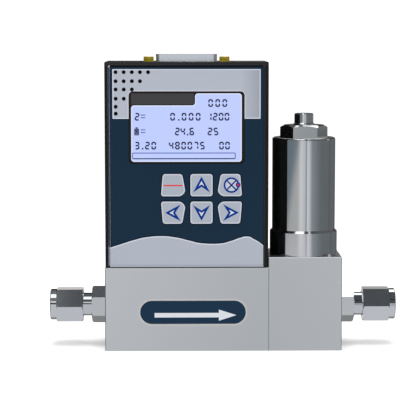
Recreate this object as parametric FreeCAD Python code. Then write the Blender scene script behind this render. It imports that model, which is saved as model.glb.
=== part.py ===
import FreeCAD, Part
import math
import os

V = FreeCAD.Vector

# Gas mass flow meter with a built-in solenoid control valve. All sizes are in millimetres.
# X runs along the flow from the inlet on the left to the outlet on the right, Y runs from the
# front panel to the back, and Z is up. The origin lies under the middle of the two joined blocks,
# on the plane that the meter stands on.

# Blocks
main_length = 71.5
valve_block_length = 32.1
depth = 31.0
main_height = 36.9
valve_block_height = 41.4
edge_break = 0.3

# Gas passages in the blocks
port_r = 5.5
port_depth = 12.0
element_bore_r = 5.0
element_bore_length = 42.0
passage_r = 2.0
riser_r = 1.5
outlet_riser_offset = 7.5

# Fastening of the blocks
block_bolt_r = 2.0
block_bolt_hole_r = 2.2
block_bolt_head_r = 3.5
block_bolt_head_height = 4.0
block_bolt_engagement = 9.0
block_bolt_offset_y = 11.2
block_bolt_offset_z = 11.0
counterbore_clearance = 0.2
mounting_hole_r = 1.65
mounting_hole_depth = 7.0
mounting_spacing_x = 44.0
mounting_spacing_y = 20.0

# Seals
seal_cord = 1.8
seal_squeeze = 0.3
port_seal_cord = 1.2
port_seal_squeeze = 0.2
joint_seal_r = 5.0
tap_seal_cord = 1.2
tap_seal_squeeze = 0.2
tap_seal_r = 1.9
seal_clearance = 0.1

# Tube fittings, for a tube of this outside diameter
tube_od = 6.35
tube_clearance = 0.05
fitting_flats = 14.29
body_hex_length = 6.3
neck_r = 5.1
neck_length = 4.0
fitting_thread_r = 5.55
fitting_mouth = 18.0
tube_stop = 8.8
fitting_bore_r = 2.4
shank_length = 10.0
nut_hex_end = 22.0
nut_end = 24.8
nut_collar_r = 6.85
ferrule_cone_depth = 1.7
ferrule_cone_rise = 1.0
front_ferrule_length = 2.6
back_ferrule_length = 1.5
thread_clearance = 0.08
fitting_face_share = 1.05
hex_face_share = 0.95
hex_chamfer_deg = 30.0
flat_up_deg = 30.0

# Sensor on the block's top, and the flow element under it
tap_r = 0.8
tap_pitch = 20.0
element_length = 16.0
element_clearance = 0.05
element_grooves = 12
element_groove_width = 0.8
element_groove_depth = 1.4
filter_thickness = 1.5
sensor_base_length = 40.0
sensor_base_width = 12.0
sensor_base_height = 4.0
sensor_screw_spread = 33.0
sensor_tube_r = 0.6
sensor_tube_bore_r = 0.35
sensor_tube_rise = 13.0
sensor_tube_bend = 4.0
winding_r = 1.3
winding_length = 4.5
winding_gap = 1.0
sensor_cover_length = 26.0
sensor_cover_width = 10.5
sensor_cover_height = 18.0
sensor_cover_wall = 1.0

# Small screws
small_screw_r = 1.5
small_head_r = 2.75
small_head_height = 1.8
small_screw_length = 6.0
fine_screw_r = 1.0
fine_head_r = 1.9
fine_head_height = 1.3
sink_head_r = 2.6
sink_depth = 1.3

# Housing
housing_width = 71.0
housing_height = 89.45
housing_wall = 1.6
housing_edge_r = 0.6
frame_lip = 1.5
frame_bevel = 0.6
panel_recess = 0.8
panel_wall = 1.6
panel_sill = 0.8
panel_corner_r = 1.0
post_width = 5.2
side_screw_height = 7.5
side_screw_spread = 16.0
back_panel_thickness = 1.5
panel_fit = 0.15
bracket_thickness = 1.5
bracket_ear_height = 11.0
bracket_screw_spread_x = 50.0
bracket_screw_inset_y = 6.0

# Front overlay, keys and display
overlay_thickness = 0.4
overlay_gap = 0.1
window_width = 50.0
window_height = 31.2
window_centre_height = 61.05
window_border = 1.0
window_corner_r = 1.9
window_thickness = 1.0
window_fit = 0.1
keypad_offset_x = 6.4
keypad_height = 30.1
key_middle_half = 4.95
key_row_gap = 2.0
key_row_height = 10.0
key_inner_x = 6.75
key_inner_top_x = 8.25
key_waist_z = 3.1
key_foot_x = 8.75
key_outer_x = 17.7
key_outer_top_x = 16.85
key_corner_r = 0.8
key_relief = 0.25
dome_r = 3.4
dome_height = 0.35
dome_sheet = 0.1
dome_pocket_r = 4.0
dome_pocket_depth = 0.4

# Display and circuit boards
display_gap = 0.3
display_depth = 4.4
display_frame_wall = 1.2
display_margin = 1.8
glass_thickness = 1.1
board_thickness = 1.6
display_board_height = 42.0
board_side_gap = 1.7
board_hole_inset_x = 2.5
board_hole_inset_z = 2.75
board_hole_r = 1.2
boss_r = 2.4
spacer_flats = 4.5
stud_r = 0.9
stud_length = 5.0
board_screw_grip = 3.0
main_board_clearance = 2.0
layout_step = 1.0
chip_edge_r = 0.3
can_chamfer = 0.4

# Plug connector on the housing's top, 15 ways
connector_y = 0.0
jackscrew_spacing = 33.32
jackscrew_flats = 4.4
jackscrew_height = 4.9
jackscrew_thread_r = 1.2
jackscrew_stud_length = 3.5
flange_below_top = 2.85
flange_end = 2.91
flange_width = 12.5
flange_thickness = 1.0
shell_length = 27.5
shell_width = 9.2
shell_height = 6.0
shell_wall = 0.5
shell_taper_deg = 10.0
shell_corner_r = 1.8
insulator_depth = 4.2
insulator_inset = 0.05
pin_r = 0.5
pin_height = 5.2
pin_pitch = 2.77
pin_row_gap = 2.84
tail_r = 0.3
tail_length = 4.5
long_row = 8
short_row = 7
connector_cutout_margin = 0.6

# Solenoid valve
valve_ring_r = 14.92
valve_ring_height = 11.1
valve_ring_chamfer = 1.0
valve_shank_r = 10.0
valve_shank_length = 4.8
valve_cavity_depth = 7.0
chamber_r = 7.6
chamber_depth = 1.6
seat_r = 4.0
seat_lip_r = 1.5
seat_height = 2.6
seat_press_depth = 3.0
orifice_r = 0.6
guide_tube_r = 6.5
guide_tube_wall = 0.6
plunger_clearance = 0.06
plunger_length = 26.0
plunger_travel = 0.5
residual_gap = 0.1
plunger_seal_r = 3.2
plunger_seal_thickness = 1.8
plunger_seal_proud = 0.4
spring_bore_r = 2.6
spring_bore_depth = 8.0
spring_r = 2.0
spring_wire_r = 0.25
spring_turns = 5
coil_cover_r = 13.95
coil_cover_height = 40.5
coil_cover_wall = 1.4
coil_cover_top = 2.5
coil_cover_edge_r = 0.9
bobbin_wall = 0.9
bobbin_flange = 1.0
bobbin_clearance = 0.1
winding_build = 3.6
valve_nut_flats = 18.2
valve_nut_height = 5.45
stud_thread_r = 6.0
core_weld_lip = 1.2
post_r = 4.2
post_height = 5.05
post_collar_r = 4.6
post_collar_height = 0.9
post_chamfer = 0.4

# Flow direction plate on the block's front
plate_length = 46.4
plate_height = 10.5
plate_offset_x = 2.65
plate_offset_z = -1.3
plate_thickness = 0.4
plate_pocket_depth = 0.5
plate_pocket_margin = 0.15

# Places worked out from the sizes above
x_left = -(main_length + valve_block_length) / 2
x_split = x_left + main_length
x_right = x_split + valve_block_length
main_x = (x_left + x_split) / 2
valve_x = (x_split + x_right) / 2
axis_z = main_height / 2
y_front = -depth / 2
y_back = depth / 2
housing_top = main_height + housing_height
panel_floor_y = y_front + panel_recess
panel_back_y = panel_floor_y + panel_wall
back_panel_y = y_back - back_panel_thickness
bracket_screw_spread_y = depth - 2 * bracket_screw_inset_y
inner_half = housing_width / 2 - housing_wall
board_width = 2 * (inner_half - board_side_gap)
board_hole_spread_x = board_width - 2 * board_hole_inset_x
board_hole_spread_z = display_board_height - 2 * board_hole_inset_z
window_z = main_height + window_centre_height
display_y = panel_back_y + display_gap
display_board_y = display_y + display_depth
main_board_y = connector_y - board_thickness / 2
flange_top = housing_top - flange_below_top
flange_length = jackscrew_spacing + 2 * flange_end
insulator_bottom = flange_top - flange_thickness - insulator_depth
main_board_bottom = main_height + sensor_base_height + sensor_cover_height + main_board_clearance
seat_floor = valve_block_height - valve_cavity_depth
seat_top = seat_floor + seat_height
ring_top = valve_block_height + valve_ring_height
cover_top = ring_top + coil_cover_height
plunger_bottom = seat_top + plunger_seal_proud
plunger_top = plunger_bottom + plunger_length
core_bottom = plunger_top + plunger_travel + residual_gap
guide_inner_r = guide_tube_r - guide_tube_wall
guide_bottom = valve_block_height - valve_shank_length + chamber_depth
guide_top = cover_top - coil_cover_top - core_weld_lip
groove_depth = seal_cord - seal_squeeze
port_groove_depth = port_seal_cord - port_seal_squeeze
port_seal_r = port_r + port_seal_cord / 2
tap_groove_depth = tap_seal_cord - tap_seal_squeeze
tube_bore_r = tube_od / 2 + tube_clearance
middle = V(0, 0, 0)
up = V(0, 0, 1)


# Basic forms

def box(x0, x1, y0, y1, z0, z1):
    return Part.makeBox(x1 - x0, y1 - y0, z1 - z0, V(x0, y0, z0))


def rod(radius, start, direction, length):
    return Part.makeCylinder(radius, length, V(*start), V(*direction))


def turned(profile):
    """A turned piece, from a closed outline of (radius, height) points about the Z axis."""
    outline = Part.makePolygon([V(r, 0, z) for r, z in profile + profile[:1]])
    return Part.Face(outline).revolve(middle, up, 360)


def moved(shape, x, y, z):
    copy = shape.copy()
    copy.translate(V(x, y, z))
    return copy


def rounded(shape, radius, axis):
    """Rounds the straight edges that run along one axis."""
    along = [e for e in shape.Edges if abs(e.tangentAt(e.FirstParameter).dot(V(*axis))) > 0.999]
    return shape.makeFillet(radius, along)


def hexagon(flats, height, turn=0.0):
    corner = flats / math.sqrt(3)
    angles = [math.radians(60 * k + turn) for k in range(7)]
    points = [V(corner * math.cos(a), corner * math.sin(a), 0) for a in angles]
    return Part.Face(Part.makePolygon(points)).extrude(V(0, 0, height))


def hex_blank(flats, height, face_share=hex_face_share, turn=0.0, chamfer_bottom=False):
    """A hexagon whose corners are turned off at its top, and at its foot too where both ends show."""
    corner = flats / math.sqrt(3)
    face_r = flats / 2 * face_share
    drop = (corner - face_r) * math.tan(math.radians(hex_chamfer_deg))
    foot = [(face_r, 0), (corner, drop)] if chamfer_bottom else [(corner, 0)]
    envelope = turned([(0, 0)] + foot + [(corner, height - drop), (face_r, height), (0, height)])
    return hexagon(flats, height, turn).common(envelope)


def corners(spread_x, spread_y):
    return [(sx * spread_x / 2, sy * spread_y / 2) for sx in (-1, 1) for sy in (-1, 1)]


def squeezed_ring(mean_r, cord, height):
    """An O-ring pressed into a groove: flat where it seals, and swollen at its sides."""
    half = cord / 2
    cheek = cord * 0.3
    rise = height * 0.3
    return turned([(mean_r - cheek, 0), (mean_r + cheek, 0), (mean_r + half, rise),
                   (mean_r + half, height - rise), (mean_r + cheek, height), (mean_r - cheek, height),
                   (mean_r - half, height - rise), (mean_r - half, rise)])


def seal_groove(mean_r, cord, depth_of_groove):
    half = cord / 2 + seal_clearance
    return turned([(mean_r - half, 0), (mean_r + half, 0), (mean_r + half, depth_of_groove),
                   (mean_r - half, depth_of_groove)])


# Screws stand with the underside of the head at the origin and the shank pointing down

def cap_screw(thread_r, length, head_r, head_height):
    head = rod(head_r, (0, 0, 0), (0, 0, 1), head_height)
    head = head.makeChamfer(head_r * 0.08, [head.Edges[0]])
    socket = moved(hexagon(head_r * 0.95, head_height * 0.55), 0, 0, head_height * 0.45)
    return head.cut(socket).fuse(rod(thread_r, (0, 0, 0), (0, 0, -1), length)).removeSplitter()


def pan_screw(thread_r, length, head_r, head_height):
    """A slotted screw with a domed head."""
    blank = turned([(0, -length), (thread_r, -length), (thread_r, 0), (head_r, 0), (head_r, head_height * 0.5),
                    (head_r * 0.82, head_height * 0.88), (head_r * 0.5, head_height), (0, head_height)])
    return blank.cut(box(-head_r, head_r, -head_r * 0.13, head_r * 0.13, head_height * 0.6, head_height))


def sunk_screw(length):
    """A countersunk screw, with the flat of its head at the origin."""
    blank = turned([(0, 0), (sink_head_r, 0), (small_screw_r, -sink_depth), (small_screw_r, -length),
                    (0, -length)])
    return blank.cut(moved(hexagon(sink_head_r * 0.8, sink_depth), 0, 0, -sink_depth * 0.7))


def sink_hole(length):
    """The hole for a countersunk screw, whose mouth is at the origin."""
    margin = counterbore_clearance / 4
    return turned([(0, 0), (sink_head_r + margin, 0), (small_screw_r + margin, -sink_depth),
                   (small_screw_r + margin, -length), (0, -length)])


# Blocks

def out_of_port(shape, side):
    """Lays a piece that is turned about Z in a port; side is -1 at the inlet and 1 at the outlet."""
    laid = shape.copy()
    laid.rotate(middle, V(0, 1, 0), 90 * side)
    laid.translate(V(x_left if side < 0 else x_right, 0, axis_z))
    return laid


def port_cut():
    """The thread bore and the seal's counterbore, cut downwards from a face at the origin."""
    bore = rod(port_r, (0, 0, 0), (0, 0, -1), port_depth)
    reach = port_seal_r + port_seal_cord / 2 + seal_clearance
    return bore.fuse(rod(reach, (0, 0, 0), (0, 0, -1), port_groove_depth))


def block_bolt_places():
    return [(y, axis_z + z) for y, z in corners(2 * block_bolt_offset_y, 2 * block_bolt_offset_z)]


def broken_edges(block):
    """Breaks a block's outer edges, apart from those of the face that meets the other block."""
    free = [e for e in block.Edges if any(abs(v.X - x_split) > 1e-6 for v in e.Vertexes)]
    return block.makeChamfer(edge_break, free)


def flow_block():
    block = broken_edges(box(x_left, x_split, y_front, y_back, 0, main_height))
    block = block.cut(out_of_port(port_cut(), -1))
    block = block.cut(rod(element_bore_r, (x_left + port_depth, 0, axis_z), (1, 0, 0), element_bore_length))
    block = block.cut(rod(passage_r, (x_left + port_depth, 0, axis_z), (1, 0, 0), main_length - port_depth))
    groove = seal_groove(joint_seal_r, seal_cord, groove_depth)
    groove.rotate(middle, V(0, 1, 0), -90)
    block = block.cut(moved(groove, x_split, 0, axis_z))
    for side in (-1, 1):
        tap_x = main_x + side * tap_pitch / 2
        block = block.cut(rod(tap_r, (tap_x, 0, axis_z), (0, 0, 1), main_height - axis_z))
        reach = tap_seal_r + tap_seal_cord / 2 + seal_clearance
        block = block.cut(rod(reach, (tap_x, 0, main_height), (0, 0, -1), tap_groove_depth))
        screw_x = main_x + side * sensor_screw_spread / 2
        block = block.cut(rod(small_screw_r, (screw_x, 0, main_height), (0, 0, -1), small_screw_length))
    for x, y in corners(bracket_screw_spread_x, bracket_screw_spread_y):
        block = block.cut(rod(small_screw_r, (main_x + x, y, main_height), (0, 0, -1), small_screw_length))
    for x, y in corners(mounting_spacing_x, mounting_spacing_y):
        block = block.cut(rod(mounting_hole_r, (main_x + x, y, 0), (0, 0, 1), mounting_hole_depth))
    for y, z in block_bolt_places():
        block = block.cut(rod(block_bolt_r, (x_split, y, z), (-1, 0, 0), block_bolt_engagement + 1))
    return block.cut(plate_solid(plate_pocket_margin, plate_pocket_depth, 0))


def valve_block():
    block = broken_edges(box(x_split, x_right, y_front, y_back, 0, valve_block_height))
    block = block.cut(out_of_port(port_cut(), 1))
    block = block.cut(rod(passage_r, (x_split, 0, axis_z), (1, 0, 0), valve_block_length / 2))
    block = block.cut(rod(riser_r, (valve_x, 0, axis_z), (0, 0, 1), seat_floor - axis_z))
    block = block.cut(rod(seat_r, (valve_x, 0, seat_floor), (0, 0, -1), seat_press_depth))
    block = block.cut(rod(riser_r, (valve_x + outlet_riser_offset, 0, axis_z), (0, 0, 1), seat_floor - axis_z))
    block = block.cut(rod(valve_shank_r, (valve_x, 0, seat_floor), (0, 0, 1), valve_cavity_depth))
    groove_r = valve_shank_r + seal_cord + seal_clearance
    block = block.cut(rod(groove_r, (valve_x, 0, valve_block_height), (0, 0, -1), groove_depth))
    sink = block_bolt_head_height + 2 * counterbore_clearance
    for y, z in block_bolt_places():
        block = block.cut(rod(block_bolt_hole_r, (x_split, y, z), (1, 0, 0), valve_block_length))
        head_r = block_bolt_head_r + counterbore_clearance
        block = block.cut(rod(head_r, (x_right, y, z), (-1, 0, 0), sink))
    return block


def block_seal():
    ring = squeezed_ring(joint_seal_r, seal_cord, groove_depth)
    ring.rotate(middle, V(0, 1, 0), -90)
    return moved(ring, x_split, 0, axis_z)


def block_bolts():
    sink = block_bolt_head_height + 2 * counterbore_clearance
    length = valve_block_length - sink + block_bolt_engagement
    bolt = cap_screw(block_bolt_r, length, block_bolt_head_r, block_bolt_head_height)
    bolt.rotate(middle, V(0, 1, 0), 90)
    return Part.makeCompound([moved(bolt, x_right - sink, y, z) for y, z in block_bolt_places()])


def flow_splitter():
    """The laminar element: a plug with lengthwise grooves between the two sensor taps."""
    radius = element_bore_r - element_clearance
    plug = rod(radius, (0, 0, 0), (1, 0, 0), element_length)
    plug = plug.makeChamfer(element_groove_depth / 2, [plug.Edges[0], plug.Edges[2]])
    groove = box(0, element_length, -element_groove_width / 2, element_groove_width / 2,
                 radius - element_groove_depth, element_bore_r)
    for k in range(element_grooves):
        turned_groove = groove.copy()
        turned_groove.rotate(middle, V(1, 0, 0), 360 / element_grooves * k)
        plug = plug.cut(turned_groove)
    return moved(plug, main_x - element_length / 2, 0, axis_z)


def inlet_filter():
    disc = rod(port_r - seal_clearance, (0, 0, 0), (1, 0, 0), filter_thickness)
    return moved(disc, x_left + port_depth - filter_thickness, 0, axis_z)


# Tube fittings, each turned about Z with the block's face at 0 and the tube entering from above

def fitting_connector():
    bore_end = fitting_mouth - ferrule_cone_depth
    shank_r = port_r - thread_clearance
    inner = [(fitting_bore_r, -shank_length), (fitting_bore_r, tube_stop), (tube_bore_r, tube_stop),
             (tube_bore_r, bore_end), (tube_bore_r + ferrule_cone_rise, fitting_mouth)]
    neck_end = body_hex_length + neck_length
    outer = [(fitting_thread_r, fitting_mouth), (fitting_thread_r, neck_end + 0.6), (neck_r, neck_end),
             (neck_r, 0), (shank_r, 0), (shank_r, -shank_length + 0.8), (shank_r - 0.8, -shank_length)]
    spindle = turned(inner + outer)
    hexagon_part = hex_blank(fitting_flats, body_hex_length, fitting_face_share)
    return spindle.fuse(hexagon_part.cut(rod(neck_r, (0, 0, 0), (0, 0, 1), body_hex_length))).removeSplitter()


def fitting_nut():
    start = body_hex_length + neck_length
    hexagon_part = hex_blank(fitting_flats, nut_hex_end - start, fitting_face_share, flat_up_deg, True)
    hexagon_part = moved(hexagon_part, 0, 0, start)
    collar = rod(nut_collar_r, (0, 0, nut_hex_end), (0, 0, 1), nut_end - nut_hex_end)
    collar = collar.makeChamfer(0.3, [collar.Edges[0]])
    thread_end = fitting_mouth + ferrule_stack_length() + thread_clearance
    thread_r = fitting_thread_r + thread_clearance
    cavity = turned([(0, start), (thread_r, start), (thread_r, thread_end), (tube_bore_r, thread_end),
                     (tube_bore_r, nut_end), (0, nut_end)])
    return hexagon_part.fuse(collar).removeSplitter().cut(cavity)


def ferrule_stack_length():
    return front_ferrule_length - ferrule_cone_depth + back_ferrule_length


def front_ferrule():
    """A cone that the nut drives into the connector's mouth and onto the tube."""
    tip = fitting_mouth - ferrule_cone_depth + thread_clearance
    shoulder = tip + ferrule_cone_depth
    end = tip + front_ferrule_length
    return turned([(tube_bore_r, tip), (tube_bore_r + ferrule_cone_rise, shoulder),
                   (fitting_thread_r - 0.6, shoulder), (fitting_thread_r - 0.6, end), (tube_bore_r + 0.9, end),
                   (tube_bore_r, end - 0.9)])


def back_ferrule():
    start = fitting_mouth + front_ferrule_length - ferrule_cone_depth + thread_clearance
    end = start + back_ferrule_length - thread_clearance
    return turned([(tube_bore_r, start - 0.8), (tube_bore_r + 0.8, start), (fitting_thread_r - 0.9, start),
                   (fitting_thread_r - 0.9, end - 0.4), (fitting_thread_r - 1.3, end), (tube_bore_r, end)])


def port_seal():
    return moved(squeezed_ring(port_seal_r, port_seal_cord, port_groove_depth), 0, 0, -port_groove_depth)


# Sensor

def sensor_base():
    top = main_height + sensor_base_height
    base = box(main_x - sensor_base_length / 2, main_x + sensor_base_length / 2, -sensor_base_width / 2,
               sensor_base_width / 2, main_height, top)
    base = rounded(base, 2.0, (0, 0, 1))
    for side in (-1, 1):
        base = base.cut(rod(sensor_tube_r, (main_x + side * tap_pitch / 2, 0, main_height), (0, 0, 1),
                            sensor_base_height))
        base = base.cut(rod(small_screw_r + thread_clearance, (main_x + side * sensor_screw_spread / 2, 0,
                                                               main_height), (0, 0, 1), sensor_base_height))
    return base


def sensor_tube():
    """The capillary: up from one tap, across through its windings, and down to the other tap."""
    half = tap_pitch / 2
    crest = main_height + sensor_base_height + sensor_tube_rise
    bend = sensor_tube_bend
    ring = Part.makeCircle(sensor_tube_r, V(-half, 0, 0), up)
    hole = Part.makeCircle(sensor_tube_bore_r, V(-half, 0, 0), up)
    section = Part.Face([Part.Wire([ring]), Part.Wire([hole])])
    leg = section.extrude(V(0, 0, crest - bend - main_height))
    leg = moved(leg, main_x, 0, main_height)
    elbow = section.revolve(V(-half + bend, 0, 0), V(0, 1, 0), 90)
    elbow = moved(elbow, main_x, 0, crest - bend)
    bridge = rod(sensor_tube_r, (main_x - half + bend, 0, crest), (1, 0, 0), half - bend)
    bridge = bridge.cut(rod(sensor_tube_bore_r, (main_x - half + bend, 0, crest), (1, 0, 0), half - bend))
    side = leg.fuse(elbow).fuse(bridge)
    return side.fuse(side.mirror(V(main_x, 0, 0), V(1, 0, 0))).removeSplitter()


def sensor_windings():
    """Two heater windings side by side on the level stretch of the capillary."""
    crest = main_height + sensor_base_height + sensor_tube_rise
    sleeves = []
    for side in (-1, 1):
        start = (main_x + side * winding_gap / 2, 0, crest)
        sleeve = rod(winding_r, start, (side, 0, 0), winding_length)
        sleeves.append(sleeve.cut(rod(sensor_tube_r, start, (side, 0, 0), winding_length)))
    return Part.makeCompound(sleeves)


def sensor_cover():
    foot = main_height + sensor_base_height
    half_length = sensor_cover_length / 2
    half_width = sensor_cover_width / 2
    outer = box(main_x - half_length, main_x + half_length, -half_width, half_width, foot,
                foot + sensor_cover_height)
    outer = rounded(outer, 1.5, (0, 0, 1))
    inner = box(main_x - half_length + sensor_cover_wall, main_x + half_length - sensor_cover_wall,
                -half_width + sensor_cover_wall, half_width - sensor_cover_wall, foot,
                foot + sensor_cover_height - sensor_cover_wall)
    return outer.cut(inner)


def sensor_seals():
    ring = squeezed_ring(tap_seal_r, tap_seal_cord, tap_groove_depth)
    return Part.makeCompound([moved(ring, main_x + side * tap_pitch / 2, 0, main_height - tap_groove_depth)
                              for side in (-1, 1)])


def sensor_screws():
    length = sensor_base_height + small_screw_length - 1
    screw = cap_screw(small_screw_r, length, small_head_r, 2 * small_screw_r)
    return Part.makeCompound([moved(screw, main_x + side * sensor_screw_spread / 2, 0,
                                    main_height + sensor_base_height) for side in (-1, 1)])


# Housing and what carries it

def side_screw_places():
    z = main_height + side_screw_height
    return [(side, y, z) for side in (-1, 1) for y in (-side_screw_spread / 2, side_screw_spread / 2)]


def base_bracket():
    """A folded steel bracket on the block, whose ears hold the housing's sides."""
    half = inner_half - panel_fit
    front = panel_back_y + panel_fit
    back = back_panel_y - panel_fit
    foot = main_height
    outer = box(main_x - half, main_x + half, front, back, foot, foot + bracket_ear_height)
    inner = box(main_x - half + bracket_thickness, main_x + half - bracket_thickness, front, back,
                foot + bracket_thickness, foot + bracket_ear_height)
    bracket = outer.cut(inner)
    bracket = bracket.cut(box(main_x - sensor_base_length / 2 - 1, main_x + sensor_base_length / 2 + 1,
                              -sensor_base_width / 2 - 1, sensor_base_width / 2 + 1, foot,
                              foot + bracket_thickness))
    for x, y in corners(bracket_screw_spread_x, bracket_screw_spread_y):
        bracket = bracket.cut(rod(small_screw_r + 2 * thread_clearance, (main_x + x, y, foot), (0, 0, 1),
                                  bracket_thickness))
    for side, y, z in side_screw_places():
        bracket = bracket.cut(rod(small_screw_r, (main_x, y, z), (side, 0, 0), half))
    return bracket


def bracket_screws():
    screw = pan_screw(small_screw_r, bracket_thickness + small_screw_length - 1, small_head_r,
                      small_head_height)
    top = main_height + bracket_thickness
    return Part.makeCompound([moved(screw, main_x + x, y, top)
                              for x, y in corners(bracket_screw_spread_x, bracket_screw_spread_y)])


def panel_outline(inset, y):
    """The framed field on the housing's front, inset from its sides and top, in one plane."""
    half = housing_width / 2 - inset
    low = main_height + panel_sill
    high = housing_top - inset
    r = panel_corner_r
    lean = r * (1 - math.sqrt(0.5))
    left, right = main_x - half, main_x + half
    return Part.Wire([
        Part.makeLine(V(left, y, low), V(right, y, low)),
        Part.makeLine(V(right, y, low), V(right, y, high - r)),
        Part.Arc(V(right, y, high - r), V(right - lean, y, high - lean), V(right - r, y, high)).toShape(),
        Part.makeLine(V(right - r, y, high), V(left + r, y, high)),
        Part.Arc(V(left + r, y, high), V(left + lean, y, high - lean), V(left, y, high - r)).toShape(),
        Part.makeLine(V(left, y, high - r), V(left, y, low))])


def field_prism(inset, y0, y1):
    return Part.Face(panel_outline(inset, y0)).extrude(V(0, y1 - y0, 0))


def window_prism(margin, y0, y1):
    half_width = window_width / 2 + margin
    half_height = window_height / 2 + margin
    block = box(main_x - half_width, main_x + half_width, y0, y1, window_z - half_height,
                window_z + half_height)
    return rounded(block, window_corner_r, (0, 1, 0))


def board_hole_places():
    return [(main_x + x, window_z + z) for x, z in corners(board_hole_spread_x, board_hole_spread_z)]


def post_places():
    """Centres of the four inner posts that carry the back panel."""
    x = inner_half - post_width / 2
    low = main_height + bracket_ear_height + post_width
    high = housing_top - housing_wall - post_width / 2
    return [(main_x + side * x, z) for side in (-1, 1) for z in (low, high)]


def housing_shell():
    half = housing_width / 2
    shell = box(main_x - half, main_x + half, y_front, y_back, main_height, housing_top)
    outer_edges = [e for e in shell.Edges if any(v.Z > housing_top - 1e-6 for v in e.Vertexes)]
    shell = shell.makeFillet(housing_edge_r, outer_edges)
    shell = shell.cut(box(main_x - inner_half, main_x + inner_half, panel_back_y, y_back, main_height,
                          housing_top - housing_wall))
    for x, z in post_places():
        size = post_width / 2
        post = box(x - size, x + size, panel_back_y, back_panel_y, z - size, z + size)
        shell = shell.fuse(post.cut(rod(small_screw_r, (x, back_panel_y, z), (0, -1, 0), small_screw_length)))
    for x, z in board_hole_places():
        boss = rod(boss_r, (x, panel_back_y, z), (0, 1, 0), display_board_y - panel_back_y)
        depth_of_hole = stud_length - board_thickness + thread_clearance
        shell = shell.fuse(boss.cut(rod(stud_r + thread_clearance, (x, display_board_y, z), (0, -1, 0),
                                        depth_of_hole)))
    bevel = Part.makeLoft([panel_outline(frame_lip, y_front),
                           panel_outline(frame_lip + frame_bevel, panel_floor_y)], True)
    shell = shell.cut(bevel)
    shell = shell.cut(window_prism(0, panel_floor_y, panel_floor_y + window_thickness))
    shell = shell.cut(window_prism(-window_border, panel_floor_y, panel_back_y))
    for x, z in key_centres():
        shell = shell.cut(rod(dome_pocket_r, (x, panel_floor_y, z), (0, 1, 0), dome_pocket_depth))
    cutout = box(main_x - flange_length / 2 - connector_cutout_margin,
                 main_x + flange_length / 2 + connector_cutout_margin,
                 connector_y - flange_width / 2 - connector_cutout_margin,
                 connector_y + flange_width / 2 + connector_cutout_margin,
                 housing_top - housing_wall, housing_top)
    shell = shell.cut(rounded(cutout, 1.0, (0, 0, 1)))
    for side, y, z in side_screw_places():
        hole = sink_hole(housing_wall)
        hole.rotate(middle, V(0, 1, 0), 90 * side)
        shell = shell.cut(moved(hole, main_x + side * half, y, z))
    return shell.removeSplitter()


def housing_screws():
    screws = []
    for side, y, z in side_screw_places():
        screw = sunk_screw(housing_wall + panel_fit + bracket_thickness + 0.8)
        screw.rotate(middle, V(0, 1, 0), 90 * side)
        screws.append(moved(screw, main_x + side * housing_width / 2, y, z))
    return Part.makeCompound(screws)


def back_panel():
    half = inner_half - panel_fit
    panel = box(main_x - half, main_x + half, back_panel_y, y_back, main_height + panel_fit,
                housing_top - housing_wall - panel_fit)
    for x, z in post_places():
        hole = sink_hole(back_panel_thickness)
        hole.rotate(middle, V(1, 0, 0), -90)
        panel = panel.cut(moved(hole, x, y_back, z))
    return panel


def back_panel_screws():
    screw = sunk_screw(back_panel_thickness + small_screw_length - 1.5)
    screw.rotate(middle, V(1, 0, 0), -90)
    return Part.makeCompound([moved(screw, x, y_back, z) for x, z in post_places()])


# Front overlay, keys and display

def key_outline(column, row):
    """One key's corners about the middle of the keypad; column and row are -1, 0 or 1 and -1 or 1."""
    low = key_row_gap / 2
    high = low + key_row_height
    if column == 0:
        points = [(-key_middle_half, low), (key_middle_half, low), (key_middle_half, high),
                  (-key_middle_half, high)]
    else:
        points = [(column * x, z) for x, z in [(key_foot_x, low), (key_outer_x, low),
                                               (key_outer_top_x, high), (key_inner_top_x, high),
                                               (key_inner_x, key_waist_z)]]
    return [(x, row * z) for x, z in points]


def keys():
    return [(column, row) for row in (1, -1) for column in (-1, 0, 1)]


def keypad_place():
    return main_x + keypad_offset_x, main_height + keypad_height


def key_centres():
    """The middle of each key's sheet dome."""
    pad_x, pad_z = keypad_place()
    outer = (key_inner_x + key_outer_x) / 2
    return [(pad_x + column * outer, pad_z + row * (key_row_gap + key_row_height) / 2)
            for column, row in keys()]


def key_pad(column, row):
    pad_x, pad_z = keypad_place()
    points = [V(pad_x + x, panel_floor_y - overlay_thickness, pad_z + z) for x, z in key_outline(column, row)]
    pad = Part.Face(Part.makePolygon(points + points[:1])).extrude(V(0, -key_relief, 0))
    return rounded(pad, key_corner_r, (0, 1, 0))


def front_overlay():
    """One printed film over the whole field, with six raised key areas and the display's cut-out."""
    overlay = field_prism(frame_lip + frame_bevel + overlay_gap, panel_floor_y - overlay_thickness,
                          panel_floor_y)
    for column, row in keys():
        overlay = overlay.fuse(key_pad(column, row))
    opening = window_prism(window_fit, panel_floor_y - overlay_thickness, panel_floor_y)
    return overlay.cut(opening).removeSplitter()


def display_window():
    return window_prism(-window_fit, panel_floor_y - overlay_thickness, panel_floor_y + window_thickness)


def key_domes():
    crown = dome_r * 0.55
    profile = [(0, dome_height - dome_sheet), (crown, dome_height - dome_sheet), (dome_r - dome_sheet, 0),
               (dome_r, 0), (crown, dome_height), (0, dome_height)]
    dome = turned(profile)
    dome.rotate(middle, V(1, 0, 0), 90)
    return Part.makeCompound([moved(dome, x, panel_floor_y + dome_pocket_depth, z) for x, z in key_centres()])


def display_frame():
    """The bent metal frame that holds the display's glass to its board."""
    outer = window_prism(display_margin, display_y, display_board_y)
    inner = window_prism(display_margin - display_frame_wall, display_y + display_frame_wall / 2,
                         display_board_y)
    view = window_prism(-window_border, display_y, display_board_y)
    return outer.cut(inner).cut(view)


def display_glass():
    front = display_y + display_frame_wall / 2
    margin = display_margin - display_frame_wall - window_fit
    return window_prism(margin, front, front + glass_thickness)


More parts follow.
